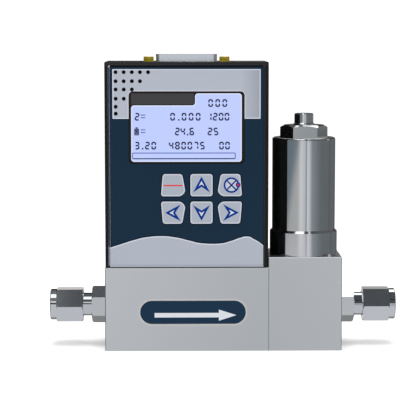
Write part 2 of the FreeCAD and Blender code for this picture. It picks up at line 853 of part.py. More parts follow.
def display_backlight():
    front = display_y + display_frame_wall / 2 + glass_thickness
    margin = display_margin - display_frame_wall - window_fit
    return window_prism(margin, front, display_board_y)


def drilled_board(z0, z1, y0):
    half = board_width / 2
    board = box(main_x - half, main_x + half, y0, y0 + board_thickness, z0, z1)
    for x, z in board_hole_places():
        board = board.cut(rod(board_hole_r, (x, y0, z), (0, 1, 0), board_thickness))
    return board


def display_board():
    half = display_board_height / 2
    return drilled_board(window_z - half, window_z + half, display_board_y)


def main_board():
    return drilled_board(main_board_bottom, insulator_bottom, main_board_y)


def board_spacers():
    """Hexagonal spacers: a stud goes through the display board, and the main board is on the far end."""
    length = main_board_y - display_board_y - board_thickness
    body = hexagon(spacer_flats, length).cut(rod(fine_screw_r, (0, 0, length), (0, 0, -1), length * 0.7))
    spacer = body.fuse(rod(stud_r, (0, 0, 0), (0, 0, -1), stud_length)).removeSplitter()
    spacer.rotate(middle, V(1, 0, 0), -90)
    start = display_board_y + board_thickness
    return Part.makeCompound([moved(spacer, x, start, z) for x, z in board_hole_places()])


def board_screws():
    screw = pan_screw(fine_screw_r, board_thickness + board_screw_grip, fine_head_r, fine_head_height)
    screw.rotate(middle, V(1, 0, 0), -90)
    start = main_board_y + board_thickness
    return Part.makeCompound([moved(screw, x, start, z) for x, z in board_hole_places()])


def board_components():
    """Chips, capacitors and plug headers on the main board's back, laid out in steps of its grid."""
    face = main_board_y + board_thickness
    middle_z = (main_board_bottom + insulator_bottom) / 2
    chips = [(-9, 8, 10, 10, 1.4), (9, 10, 5, 6, 1.6), (9, 0, 5, 6, 1.6), (-9, -8, 7, 5, 1.6),
             (18, -22, 12, 5, 6), (-16, -22, 9, 5, 6)]
    cans = [(18, 8, 3.1, 7.5), (18, -4, 3.1, 7.5), (2, -20, 3.1, 7.5)]
    parts = []
    for steps in chips:
        dx, dz, width, height, thickness = [layout_step * s for s in steps]
        chip = box(main_x + dx - width / 2, main_x + dx + width / 2, face, face + thickness,
                   middle_z + dz - height / 2, middle_z + dz + height / 2)
        parts.append(rounded(chip, chip_edge_r, (0, 1, 0)))
    for steps in cans:
        dx, dz, radius, height = [layout_step * s for s in steps]
        can = rod(radius, (main_x + dx, face, middle_z + dz), (0, 1, 0), height)
        parts.append(can.makeChamfer(can_chamfer, [can.Edges[0]]))
    return Part.makeCompound(parts)


# Plug connector

def shell_prism(inset, z0, z1):
    """The connector's outline: two long sides joined by slanted ends with round corners."""
    half = shell_length / 2 - inset
    half_width = shell_width / 2 - inset
    slant = shell_width * math.tan(math.radians(shell_taper_deg))
    points = [V(main_x - half, connector_y - half_width, z0), V(main_x + half, connector_y - half_width, z0),
              V(main_x + half - slant, connector_y + half_width, z0),
              V(main_x - half + slant, connector_y + half_width, z0)]
    prism = Part.Face(Part.makePolygon(points + points[:1])).extrude(V(0, 0, z1 - z0))
    return rounded(prism, shell_corner_r - inset, (0, 0, 1))


def jackscrew_places():
    return [(main_x + side * jackscrew_spacing / 2, connector_y) for side in (-1, 1)]


def connector_shell():
    """The drawn metal shell and its flange."""
    flange = box(main_x - flange_length / 2, main_x + flange_length / 2, connector_y - flange_width / 2,
                 connector_y + flange_width / 2, flange_top - flange_thickness, flange_top)
    flange = rounded(flange, 1.5, (0, 0, 1))
    shell = flange.fuse(shell_prism(0, flange_top, flange_top + shell_height))
    shell = shell.cut(shell_prism(shell_wall, flange_top - flange_thickness, flange_top + shell_height))
    for x, y in jackscrew_places():
        shell = shell.cut(rod(jackscrew_thread_r + 0.3, (x, y, flange_top), (0, 0, -1), flange_thickness))
    return shell


def pin_places():
    long_places = [(main_x + (k - (long_row - 1) / 2) * pin_pitch, connector_y - pin_row_gap / 2)
                   for k in range(long_row)]
    short_places = [(main_x + (k - (short_row - 1) / 2) * pin_pitch, connector_y + pin_row_gap / 2)
                    for k in range(short_row)]
    return long_places + short_places


def connector_insulator():
    block = shell_prism(shell_wall + insulator_inset, flange_top - flange_thickness, flange_top)
    foot = shell_prism(insulator_inset, insulator_bottom, flange_top - flange_thickness)
    block = block.fuse(foot)
    for x, y in pin_places():
        block = block.cut(rod(pin_r, (x, y, flange_top), (0, 0, -1), flange_top - insulator_bottom))
    return block.removeSplitter()


def connector_contacts():
    """Fifteen pins, each with a thin tail that is soldered to one face of the main board."""
    contacts = []
    for x, y in pin_places():
        pin = rod(pin_r, (x, y, insulator_bottom), (0, 0, 1), flange_top - insulator_bottom + pin_height)
        pin = pin.makeChamfer(pin_r * 0.6, [pin.Edges[0]])
        contacts.append(pin.fuse(rod(tail_r, (x, y, insulator_bottom), (0, 0, -1), tail_length)))
    return Part.makeCompound(contacts)


def connector_jackscrews():
    screws = []
    for x, y in jackscrew_places():
        post = hex_blank(jackscrew_flats, jackscrew_height, turn=flat_up_deg)
        post = post.cut(rod(jackscrew_thread_r, (0, 0, jackscrew_height), (0, 0, -1), jackscrew_height - 0.6))
        stud = rod(jackscrew_thread_r, (0, 0, 0), (0, 0, -1), jackscrew_stud_length)
        screws.append(moved(post.fuse(stud).removeSplitter(), x, y, flange_top))
    return Part.makeCompound(screws)


# Solenoid valve, each piece turned about the valve's own axis

def at_valve(shape):
    return moved(shape, valve_x, 0, 0)


def valve_seat():
    """A pressed-in orifice whose raised lip the plunger's seal closes."""
    bore_r = riser_r * 0.8
    foot = seat_floor - seat_press_depth
    profile = [(bore_r, foot), (seat_r, foot), (seat_r, seat_floor), (seat_lip_r, seat_top),
               (orifice_r, seat_top), (orifice_r, seat_floor), (bore_r, seat_floor - 1)]
    return at_valve(turned(profile))


def valve_base():
    """The threaded ring that screws into the block and carries the guide tube."""
    shank_r = valve_shank_r - thread_clearance
    bottom = valve_block_height - valve_shank_length
    profile = [(chamber_r, bottom), (shank_r, bottom), (shank_r, valve_block_height),
               (valve_ring_r, valve_block_height), (valve_ring_r, ring_top - valve_ring_chamfer),
               (valve_ring_r - valve_ring_chamfer, ring_top), (guide_tube_r, ring_top),
               (guide_tube_r, guide_bottom), (chamber_r, guide_bottom)]
    return at_valve(turned(profile))


def valve_base_seal():
    mean_r = valve_shank_r + seal_cord / 2
    ring = squeezed_ring(mean_r, seal_cord, groove_depth)
    return at_valve(moved(ring, 0, 0, valve_block_height - groove_depth))


def guide_tube():
    return at_valve(turned([(guide_inner_r, guide_bottom), (guide_tube_r, guide_bottom),
                            (guide_tube_r, guide_top), (guide_inner_r, guide_top)]))


def fixed_core():
    """The pole piece that closes the guide tube, with the nut's thread and the post on its top."""
    nut_top = cover_top + valve_nut_height
    collar_top = nut_top + post_collar_height
    post_top = nut_top + post_height
    profile = [(0, core_bottom), (guide_inner_r, core_bottom), (guide_inner_r, guide_top),
               (guide_tube_r, guide_top), (guide_tube_r, guide_top + core_weld_lip),
               (stud_thread_r, guide_top + core_weld_lip), (stud_thread_r, nut_top - 0.4),
               (stud_thread_r - 0.4, nut_top), (post_collar_r, nut_top), (post_collar_r, nut_top + 0.4),
               (post_r, collar_top), (post_r, post_top - post_chamfer), (post_r - post_chamfer, post_top),
               (0, post_top)]
    return at_valve(turned(profile))


def plunger():
    """The sliding iron armature: the seal sits in its foot and the return spring in its head."""
    radius = guide_inner_r - plunger_clearance
    pocket_top = plunger_bottom + plunger_seal_thickness - plunger_seal_proud
    profile = [(plunger_seal_r, plunger_bottom), (radius - 0.5, plunger_bottom),
               (radius, plunger_bottom + 0.5), (radius, plunger_top - 0.3), (radius - 0.3, plunger_top),
               (spring_bore_r, plunger_top), (spring_bore_r, plunger_top - spring_bore_depth),
               (0, plunger_top - spring_bore_depth), (0, pocket_top), (plunger_seal_r, pocket_top)]
    body = turned(profile)
    groove = box(radius - 0.7, radius + 0.1, -0.6, 0.6, plunger_bottom, plunger_top)
    for angle in (0, 90, 180, 270):
        slot = groove.copy()
        slot.rotate(middle, up, angle)
        body = body.cut(slot)
    return at_valve(body)


def plunger_seal():
    return at_valve(rod(plunger_seal_r, (0, 0, seat_top), (0, 0, 1), plunger_seal_thickness))


def return_spring():
    """A closed coil between the plunger's bore and the fixed core."""
    low = plunger_top - spring_bore_depth + spring_wire_r
    high = core_bottom - spring_wire_r
    pitch = (high - low) / spring_turns
    path = Part.makeHelix(pitch, high - low, spring_r)
    angles = [math.radians(60 * k + 30) for k in range(7)]
    section = Part.makePolygon([V(spring_r + spring_wire_r * math.cos(a), 0, spring_wire_r * math.sin(a))
                                for a in angles])
    coil = Part.Wire(path.Edges).makePipeShell([section], True, True)
    return at_valve(moved(coil, 0, 0, low))


def coil_bobbin():
    bore = guide_tube_r + bobbin_clearance
    flange_r = coil_cover_r - coil_cover_wall - bobbin_clearance
    top = cover_top - coil_cover_top - bobbin_clearance
    core_r = bore + bobbin_wall
    return at_valve(turned([(bore, ring_top), (flange_r, ring_top), (flange_r, ring_top + bobbin_flange),
                            (core_r, ring_top + bobbin_flange), (core_r, top - bobbin_flange),
                            (flange_r, top - bobbin_flange), (flange_r, top), (bore, top)]))


def coil_winding():
    inner = guide_tube_r + bobbin_clearance + bobbin_wall
    top = cover_top - coil_cover_top - bobbin_clearance - bobbin_flange
    foot = ring_top + bobbin_flange
    outer = inner + winding_build
    return at_valve(turned([(inner, foot), (outer, foot), (outer, top), (inner, top)]))


def coil_cover():
    """The polished can over the coil, drawn in one piece with a rounded top edge."""
    can = rod(coil_cover_r, (0, 0, ring_top), (0, 0, 1), coil_cover_height)
    can = can.makeFillet(coil_cover_edge_r, [can.Edges[0]])
    inner_r = coil_cover_r - coil_cover_wall
    cavity = rod(inner_r, (0, 0, ring_top), (0, 0, 1), coil_cover_height - coil_cover_top)
    hole = rod(guide_tube_r + bobbin_clearance, (0, 0, ring_top), (0, 0, 1), coil_cover_height)
    return at_valve(can.cut(cavity).cut(hole))


def valve_nut():
    nut = hex_blank(valve_nut_flats, valve_nut_height)
    nut = nut.cut(rod(stud_thread_r + thread_clearance, (0, 0, 0), (0, 0, 1), valve_nut_height))
    return at_valve(moved(nut, 0, 0, cover_top))


# Flow direction plate

def plate_solid(margin, depth_in, proud):
    """A long plate with round ends on the block's front, from depth_in behind the face."""
    half_height = plate_height / 2 + margin
    straight = (plate_length - plate_height) / 2
    x, z = main_x + plate_offset_x, axis_z + plate_offset_z
    y0, y1 = y_front - proud, y_front + depth_in
    plate = box(x - straight, x + straight, y0, y1, z - half_height, z + half_height)
    for side in (-1, 1):
        plate = plate.fuse(rod(half_height, (x + side * straight, y0, z), (0, 1, 0), y1 - y0))
    return plate.removeSplitter()


def flow_plate():
    return moved(plate_solid(0, plate_thickness, 0), 0, plate_pocket_depth - plate_thickness, 0)


pieces = {
    "flow_block": flow_block(),
    "valve_block": valve_block(),
    "block_seal": block_seal(),
    "block_bolts": block_bolts(),
    "flow_splitter": flow_splitter(),
    "inlet_filter": inlet_filter(),
    "sensor_base": sensor_base(),
    "sensor_tube": sensor_tube(),
    "sensor_windings": sensor_windings(),
    "sensor_cover": sensor_cover(),
    "sensor_seals": sensor_seals(),
    "sensor_screws": sensor_screws(),
    "base_bracket": base_bracket(),
    "bracket_screws": bracket_screws(),
    "housing_shell": housing_shell(),
    "housing_screws": housing_screws(),
    "back_panel": back_panel(),
    "back_panel_screws": back_panel_screws(),
    "front_overlay": front_overlay(),
    "display_window": display_window(),
    "key_domes": key_domes(),
    "display_frame": display_frame(),
    "display_glass": display_glass(),
    "display_backlight": display_backlight(),
    "display_board": display_board(),
    "main_board": main_board(),
    "board_spacers": board_spacers(),
    "board_screws": board_screws(),
    "board_components": board_components(),
    "connector_shell": connector_shell(),
    "connector_insulator": connector_insulator(),
    "connector_contacts": connector_contacts(),
    "connector_jackscrews": connector_jackscrews(),
    "valve_seat": valve_seat(),
    "valve_base": valve_base(),
    "valve_base_seal": valve_base_seal(),
    "guide_tube": guide_tube(),
    "fixed_core": fixed_core(),
    "plunger": plunger(),
    "plunger_seal": plunger_seal(),
    "return_spring": return_spring(),
    "coil_bobbin": coil_bobbin(),
    "coil_winding": coil_winding(),
    "coil_cover": coil_cover(),
    "valve_nut": valve_nut(),
    "flow_plate": flow_plate(),
}

for name, side in (("inlet", -1), ("outlet", 1)):
    pieces[name + "_connector"] = out_of_port(fitting_connector(), side)
    pieces[name + "_port_seal"] = out_of_port(port_seal(), side)
    pieces[name + "_nut"] = out_of_port(fitting_nut(), side)
    pieces[name + "_front_ferrule"] = out_of_port(front_ferrule(), side)
    pieces[name + "_back_ferrule"] = out_of_port(back_ferrule(), side)

os.makedirs("parts", exist_ok=True)
for name, shape in pieces.items():
    shape.exportStep("parts/" + name + ".step")
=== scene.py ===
import math

import bmesh
import bpy
from mathutils import Matrix, Vector


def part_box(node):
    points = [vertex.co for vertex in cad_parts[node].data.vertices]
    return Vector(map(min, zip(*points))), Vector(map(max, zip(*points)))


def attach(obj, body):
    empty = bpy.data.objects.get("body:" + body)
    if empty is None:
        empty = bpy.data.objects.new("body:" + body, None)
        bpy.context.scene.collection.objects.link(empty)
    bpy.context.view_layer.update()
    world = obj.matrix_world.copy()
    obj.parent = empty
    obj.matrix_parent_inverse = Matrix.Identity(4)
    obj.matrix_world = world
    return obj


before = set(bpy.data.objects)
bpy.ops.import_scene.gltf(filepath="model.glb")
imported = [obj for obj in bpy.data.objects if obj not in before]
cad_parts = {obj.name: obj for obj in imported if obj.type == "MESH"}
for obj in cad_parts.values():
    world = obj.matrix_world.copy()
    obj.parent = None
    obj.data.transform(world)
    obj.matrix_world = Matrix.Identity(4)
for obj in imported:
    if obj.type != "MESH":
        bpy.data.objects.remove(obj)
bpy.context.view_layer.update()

MM = 0.001
ROOT = "meter_body"


# Blocks
# The flow block and the valve block are milled from stainless bar and bolted end to end, with an
# O-ring between them, so a hairline joint shows. Their faces have a fine satin grain along the flow,
# and a painted sheen that is lighter towards the top and the outer ends. Their top edges and the edge
# of the plate's pocket are broken, and carry painted highlights.

class Wire:
    """A value in a node tree. A sum of wires and numbers adds the Math nodes that work it out."""

    def __init__(self, tree, socket):
        self.tree = tree
        self.socket = socket

    def math(self, operation, *others, clamp=False):
        settings = {"operation": operation, "use_clamp": clamp}
        return self.tree.node("ShaderNodeMath", settings, [self, *others])

    def __add__(self, other):
        return self.math("ADD", other)

    def __radd__(self, other):
        return self.math("ADD", other)

    def __sub__(self, other):
        return self.math("SUBTRACT", other)

    def __rsub__(self, other):
        return self.tree.node("ShaderNodeMath", {"operation": "SUBTRACT"}, [other, self])

    def __mul__(self, other):
        return self.math("MULTIPLY", other)

    def __rmul__(self, other):
        return self.math("MULTIPLY", other)

    def __truediv__(self, other):
        return self.math("DIVIDE", other)

    def __abs__(self):
        return self.math("ABSOLUTE")

    def above(self, edge, soft):
        """1 where the value is over edge and 0 where it is under, with a soft step between."""
        return ((self - edge) / soft + 0.5).math("ADD", 0.0, clamp=True)

    def below(self, edge, soft):
        """1 where the value is under edge."""
        return 1.0 - self.above(edge, soft)

    def between(self, low, high, soft):
        """1 where the value lies between low and high."""
        return self.above(low, soft) * self.below(high, soft)


class Nodes:
    """A node tree that is filled from Python."""

    def __init__(self, tree):
        self.tree = tree

    def node(self, kind, settings=None, sockets=None, output=0):
        """Adds a node, sets its settings, and then sets or links its sockets."""
        made = self.tree.nodes.new(kind)
        for name, value in (settings or {}).items():
            if name == "stops":
                stops = made.color_ramp.elements
                while len(stops) < len(value):
                    stops.new(1.0)
                for stop, (place, colour) in zip(stops, value):
                    stop.position = place
                    stop.color = colour
            elif name == "curve":
                points = made.mapping.curves[0].points
                while len(points) < len(value):
                    points.new(0.5, 0.5)
                for point, place in zip(points, value):
                    point.location = place
                made.mapping.update()
            else:
                setattr(made, name, value)
        given = sockets.items() if isinstance(sockets, dict) else enumerate(sockets or [])
        for name, value in given:
            if isinstance(value, Wire):
                self.tree.links.new(value.socket, made.inputs[name])
            else:
                made.inputs[name].default_value = value
        return Wire(self, made.outputs[output])

    def mix(self, share, first, second):
        """A colour between first and second."""
        settings = {"data_type": "RGBA"}
        return self.node("ShaderNodeMix", settings, {0: share, 6: first, 7: second}, output=2)

    def split(self, vector):
        parts = self.node("ShaderNodeSeparateXYZ", None, [vector])
        outputs = parts.socket.node.outputs
        return [Wire(self, outputs[axis]) for axis in range(3)]


class Finish(Nodes):
    """A procedural surface. What is the same all over is set on its shader, and the rest is wired to it."""

    def __init__(self, name, constants):
        self.material = bpy.data.materials.new(name)
        self.material.use_nodes = True
        super().__init__(self.material.node_tree)
        self.shader = next(n for n in self.tree.nodes if n.type == "BSDF_PRINCIPLED")
        for socket, value in constants.items():
            self.shader.inputs[socket].default_value = value

    def wire(self, socket, value):
        self.tree.links.new(value.socket, self.shader.inputs[socket])

    def place(self):
        """Where a point is on the piece, in millimetres."""
        where = self.node("ShaderNodeTexCoord", None, None, output=3)
        settings = {"operation": "SCALE"}
        return self.node("ShaderNodeVectorMath", settings, {0: where, 3: 1 / MM})

    def noise(self, stretch, scale, detail=3.0):
        """Noise with so many lumps a millimetre, drawn out by stretch along X, Y and Z."""
        stretched = self.node("ShaderNodeMapping", None, {0: self.place(), 3: stretch})
        return self.node("ShaderNodeTexNoise", None, {"Vector": stretched, "Scale": scale, "Detail": detail})

    def bump(self, height, depth):
        """Raises the surface by height times depth, in millimetres."""
        sockets = {"Strength": 1.0, "Distance": depth * MM, "Height": height}
        self.wire("Normal", self.node("ShaderNodeBump", None, sockets))


def paint(red, green, blue):
    """A colour given as it looks on a screen, from 0 to 255, as the shader's own light values."""
    def light(value):
        share = value / 255
        return share / 12.92 if share <= 0.04045 else ((share + 0.055) / 1.055) ** 2.4
    return (light(red), light(green), light(blue), 1.0)


def grained(name, colour, low, high, stretch, scale, depth, constants):
    """A surface with a grain: its roughness runs from low to high, and its colour and height vary."""
    made = Finish(name, constants)
    grain = made.noise(stretch, scale)
    cloud = made.noise((1.0, 1.0, 1.0), 0.06, 2.0)
    darker = tuple(0.88 * part for part in colour[:3]) + (1.0,)
    made.wire("Base Color", made.mix(0.65 * cloud + 0.35 * grain, darker, colour))
    made.wire("Roughness", low + (high - low) * grain)
    made.bump(grain, depth)
    return made


def dress(finish, *names):
    """Gives CAD nodes a finish."""
    for name in names:
        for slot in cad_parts[name].material_slots:
            slot.material = finish.material


def past_edge_of(x, z, centre_x, centre_z, half_x, half_z, corner):
    """How far a point is past the edge of a rectangle with round corners, less than nothing inside it."""
    past_x = abs(x - centre_x) - (half_x - corner)
    past_z = abs(z - centre_z) - (half_z - corner)
    over_x = past_x.math("MAXIMUM", 0.0)
    over_z = past_z.math("MAXIMUM", 0.0)
    within = past_x.math("MAXIMUM", past_z).math("MINIMUM", 0.0)
    return (over_x * over_x + over_z * over_z).math("SQRT") + within - corner


def millimetres(name):
    """The corners of a CAD node's box, in millimetres."""
    return [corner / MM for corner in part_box(name)]


SEAM_HALF = 0.22
POCKET_HIGHLIGHT_WIDTH = 0.4
POCKET_DEPTH = 1.0
TOP_HIGHLIGHT_WIDTH = 0.4
SHEEN_MIDDLE = 5.0
SHEEN_HALF = 31.0
SHEEN_LEVEL = 18.0
SHEEN_BASE = 0.35
SHEEN_RISE = 0.008
BLOCK_LIGHT, BLOCK_DARK = paint(234, 236, 238), paint(212, 215, 217)
flow_low, flow_high = millimetres("flow_block")
valve_low, valve_high = millimetres("valve_block")
seam_x = valve_low.x
plate_low, plate_high = millimetres("flow_plate")
plate_middle_x, plate_middle_z = (plate_low.x + plate_high.x) / 2, (plate_low.z + plate_high.z) / 2
plate_half_x, plate_half_z = (plate_high.x - plate_low.x) / 2, (plate_high.z - plate_low.z) / 2
satin_steel = Finish("satin_steel", {})
block_x, block_y, block_z = satin_steel.split(satin_steel.place())
satin = satin_steel.noise((0.05, 1.0, 1.0), 6.0)
# Painted sheen: the steel is lighter away from a point just left of the joint, and towards the top.
from_middle = abs(block_x - (seam_x - SHEEN_MIDDLE)) - SHEEN_HALF
painted_sheen = SHEEN_BASE + SHEEN_RISE * from_middle + SHEEN_RISE * (block_z - SHEEN_LEVEL)
grain_and_painted_sheen = satin_steel.mix((painted_sheen + 0.1 * satin).math("ADD", 0.0, clamp=True), BLOCK_DARK, BLOCK_LIGHT)
seam = abs(block_x - seam_x).below(SEAM_HALF, 0.1)
jointed = satin_steel.mix(seam, grain_and_painted_sheen, paint(172, 174, 177))
# Painted highlights: light, non-metallic bands along the blocks' front top edges and round the plate's
# pocket.
at_top = (block_z.above(flow_high.z - TOP_HIGHLIGHT_WIDTH, 0.1) * block_x.below(seam_x, 0.1)
          + block_z.above(valve_high.z - TOP_HIGHLIGHT_WIDTH, 0.1))
painted_top_highlight = at_top * block_y.below(flow_low.y + TOP_HIGHLIGHT_WIDTH, 0.1)
highlighted_steel = satin_steel.mix(painted_top_highlight, jointed, paint(182, 184, 187))
past_plate = past_edge_of(block_x, block_z, plate_middle_x, plate_middle_z, plate_half_x, plate_half_z,
                          plate_half_z)
painted_pocket_highlight = past_plate.below(POCKET_HIGHLIGHT_WIDTH, 0.12) * block_y.below(flow_low.y + POCKET_DEPTH, 0.1)
satin_steel.wire("Base Color", satin_steel.mix(painted_pocket_highlight, highlighted_steel, paint(206, 203, 199)))
satin_steel.wire("Metallic", 1.0 - (painted_pocket_highlight + painted_top_highlight))
satin_steel.wire("Roughness", 0.28 + 0.10 * satin)
satin_steel.bump(satin, 0.004)
screw_steel = grained("screw_steel", paint(176, 178, 180), 0.22, 0.34, (1.0, 1.0, 1.0), 3.0, 0.004,
                      {"Metallic": 1.0})
seal_rubber = grained("seal_rubber", paint(34, 34, 36), 0.45, 0.62, (1.0, 1.0, 1.0), 4.0, 0.006,
                      {"Specular IOR Level": 0.35})
dress(satin_steel, "flow_block", "valve_block")
dress(screw_steel, "block_bolts")
dress(seal_rubber, "block_seal")


# Tube fittings
# Each fitting is turned from stainless hexagon bar: a body screwed into the block on a seal, a nut
# over its end, and two ferrules that the nut drives onto the tube. The lathe leaves rings round X.

bright_steel = grained("bright_steel", paint(222, 224, 228), 0.05, 0.10, (1.0, 0.1, 0.1), 8.0, 0.0012,
                       {"Metallic": 1.0})
body_steel = grained("body_steel", paint(216, 218, 221), 0.05, 0.10, (1.0, 0.1, 0.1), 8.0, 0.0012,
                     {"Metallic": 1.0})
dress(bright_steel, "inlet_nut", "outlet_nut", "inlet_front_ferrule", "outlet_front_ferrule",
      "inlet_back_ferrule", "outlet_back_ferrule")
dress(body_steel, "inlet_connector", "outlet_connector")
dress(seal_rubber, "inlet_port_seal", "outlet_port_seal")


# Flow element and sensor
# Inside the block a grooved element and a gauze disc straighten the flow, and a capillary with two
# fine windings measures it under a small cover.

inner_steel = grained("inner_steel", paint(190, 192, 194), 0.24, 0.36, (1.0, 1.0, 1.0), 5.0, 0.003,
                      {"Metallic": 1.0})
dress(inner_steel, "flow_splitter", "inlet_filter", "sensor_base", "sensor_cover", "sensor_tube")
dress(screw_steel, "sensor_screws")
dress(seal_rubber, "sensor_seals")


def wound(name, wire_width):
    """Enamelled copper wire, wound in close turns round Z, with painted shade between the turns."""
    made = Finish(name, {"Metallic": 1.0})
    height = made.split(made.place())[2]
    turn = (height * (2 * math.pi / wire_width)).math("SINE") * 0.5 + 0.5
    # Painted shade: the colour darkens into the grooves between turns.
    made.wire("Base Color", made.mix(turn, paint(94, 40, 18), paint(214, 120, 62)))
    made.wire("Roughness", 0.42 - 0.16 * turn)
    made.bump(turn, wire_width * 0.4)
    return made


dress(wound("fine_copper", 0.12), "sensor_windings")


# Housing
# An aluminium box, blasted and anodised satin black. Its front edge turns in as a frame round the
# panel with a bevel inside, and the panel's grey runs on over the sill at its foot. The left bevel
# carries a painted highlight of bright metal and the right one a dimmer grey painted highlight, and a
# clear coat on the top lip alone is a painted highlight too.
# Black countersunk screws hold it to the ears of a folded bracket, and hold its back plate.

LEFT_LIP, RIGHT_LIP = 1.4, 1.2
BEVEL_DEPTH = 0.85
BEVEL_LAP = 0.2
BEVEL_HEAD = 0.6
SILL_LINE = 0.38
SKIN = 0.02
TOP_LIP_HIGHLIGHT_GLOSS = 0.6
shell_low, shell_high = millimetres("housing_shell")
film_low, film_high = millimetres("front_overlay")
housing_black = Finish("housing_black", {"Specular IOR Level": 0.12})
shell_x, shell_y, shell_z = housing_black.split(housing_black.place())
blasted = housing_black.noise((1.0, 1.0, 1.0), 2.2)
on_bevel = (shell_y.between(shell_low.y + SKIN, shell_low.y + BEVEL_DEPTH, SKIN)
            * shell_z.below(film_high.z + BEVEL_HEAD, 0.1))
# Painted highlights: the left bevel is bright metal and the right one a lighter grey.
painted_left_bevel_highlight = on_bevel * shell_x.between(shell_low.x + LEFT_LIP, film_low.x + BEVEL_LAP, 0.1)
painted_right_bevel_highlight = on_bevel * shell_x.between(film_high.x - BEVEL_LAP, shell_high.x - RIGHT_LIP, 0.1)
over_sill = (shell_z.above(shell_low.z + SILL_LINE, 0.08) * shell_z.below(film_low.z + SKIN, SKIN)
             * shell_x.between(film_low.x - 0.1, film_high.x + 0.1, 0.05)
             * shell_y.below(shell_low.y + BEVEL_DEPTH, SKIN))
shell_colour = housing_black.mix(painted_right_bevel_highlight, paint(24, 24, 25), paint(50, 50, 50))
shell_colour = housing_black.mix(over_sill, shell_colour, paint(170, 175, 186))
housing_black.wire("Base Color", housing_black.mix(painted_left_bevel_highlight, shell_colour, paint(250, 251, 253)))
housing_black.wire("Metallic", painted_left_bevel_highlight)
housing_black.wire("Roughness", 0.26 + 0.10 * blasted)
# A clear coat on the top lip alone: a painted highlight.
housing_black.wire("Coat Weight", TOP_LIP_HIGHLIGHT_GLOSS * shell_z.above(film_high.z + BEVEL_HEAD, 0.4))
housing_black.bump(blasted, 0.006)
black_screw = grained("black_screw", paint(44, 44, 46), 0.30, 0.42, (1.0, 1.0, 1.0), 3.0, 0.004,
                      {"Metallic": 0.8})
dress(housing_black, "housing_shell", "back_panel")
dress(black_screw, "housing_screws", "back_panel_screws")
dress(inner_steel, "base_bracket")
dress(screw_steel, "bracket_screws")


# Front overlay
# One polyester film, printed on its back: navy, with a grey field behind the display, a grey wave
# along the foot, a block of dots, and six embossed keys over the snap domes. The dark ring round each
# key is painted shadow, and the grey is painted darker towards the upper right and low down.

NAVY = paint(15, 41, 61)
NAVY_EDGE = paint(4, 20, 36)
PANEL_GREY = paint(172, 178, 190)
PANEL_RIM = paint(203, 207, 219)
GREY_FIELD = (-48.08, 15.9, 101.8, 123.2)
FIELD_CORNER = 0.25
FIELD_RIM = 0.4
WAVE_RIM = 0.45
WAVE_SHADOW = 0.5
EDGE_SOFT = 0.06
SHADE_HEIGHT, SHADE_SIDE = 75.0, 11.5
WAVE_LEFT, WAVE_RIGHT = -50.0, 18.0
WAVE_FOOT, WAVE_RISE = 44.0, 8.0
WAVE = [(-50.0, 45.5), (-44.8, 47.15), (-38.9, 49.0), (-33.0, 50.3), (-27.0, 50.7), (-21.0, 50.1),
        (-15.0, 48.7), (-8.7, 47.45), (-3.0, 47.3), (3.0, 48.45), (7.4, 49.95), (10.2, 50.45),
        (12.6, 49.6), (18.0, 45.7)]
WINDOW_CORNER = 1.9
window_low, window_high = millimetres("display_window")
window_x, window_z = (window_low.x + window_high.x) / 2, (window_low.z + window_high.z) / 2
window_half_x, window_half_z = (window_high.x - window_low.x) / 2, (window_high.z - window_low.z) / 2

film = Finish("overlay_film", {"Specular IOR Level": 0.12})
film_x, _, film_z = film.split(film.place())
left, right, foot, head = GREY_FIELD
past_field = past_edge_of(film_x, film_z, (left + right) / 2, (foot + head) / 2, (right - left) / 2,
                          (head - foot) / 2, FIELD_CORNER)
past_window = past_edge_of(film_x, film_z, window_x, window_z, window_half_x, window_half_z, WINDOW_CORNER)
in_field = past_field.below(0.0, EDGE_SOFT)
field_rim = past_field.above(-FIELD_RIM, 0.2).math("MAXIMUM", past_window.below(FIELD_RIM + 0.1, 0.2))
wave_share = (film_x - WAVE_LEFT) / (WAVE_RIGHT - WAVE_LEFT)
wave_points = [((x - WAVE_LEFT) / (WAVE_RIGHT - WAVE_LEFT), (z - WAVE_FOOT) / WAVE_RISE) for x, z in WAVE]
wave = film.node("ShaderNodeFloatCurve", {"curve": wave_points}, {0: 1.0, 1: wave_share})
under_wave = wave * WAVE_RISE + WAVE_FOOT - film_z
in_wave = under_wave.above(0.0, EDGE_SOFT)
wave_rim = under_wave.below(WAVE_RIM, 0.25)
shade = film.noise((1.0, 1.0, 1.0), 0.05, 2.0)
toned = film.mix(shade, tuple(0.93 * part for part in PANEL_GREY[:3]) + (1.0,), PANEL_GREY)
# Painted shade: the grey darkens towards the upper right, and a little low on the film.
upper_side = film_z.above(SHADE_HEIGHT, 10.0) * film_x.above(SHADE_SIDE, 8.7)
painted_shade = upper_side + 0.2 * film_z.below(SHADE_HEIGHT, 10.0)
toned = film.mix(painted_shade, toned, tuple(0.72 * part for part in PANEL_GREY[:3]) + (1.0,))
ground = film.mix((-1.0 * under_wave).below(WAVE_SHADOW, 0.5), NAVY, NAVY_EDGE)
printed = film.mix(in_field, ground, film.mix(field_rim, toned, PANEL_RIM))
film.wire("Base Color", film.mix(in_wave, printed, film.mix(wave_rim, toned, PANEL_RIM)))
velvet = film.noise((1.0, 1.0, 1.0), 5.0)
film.wire("Roughness", 0.42 + 0.14 * velvet)
film.bump(velvet, 0.004)
dress(film, "front_overlay")
dress(inner_steel, "key_domes")

INK = 0.03
pad_y = film_low.y
film_front = window_low.y


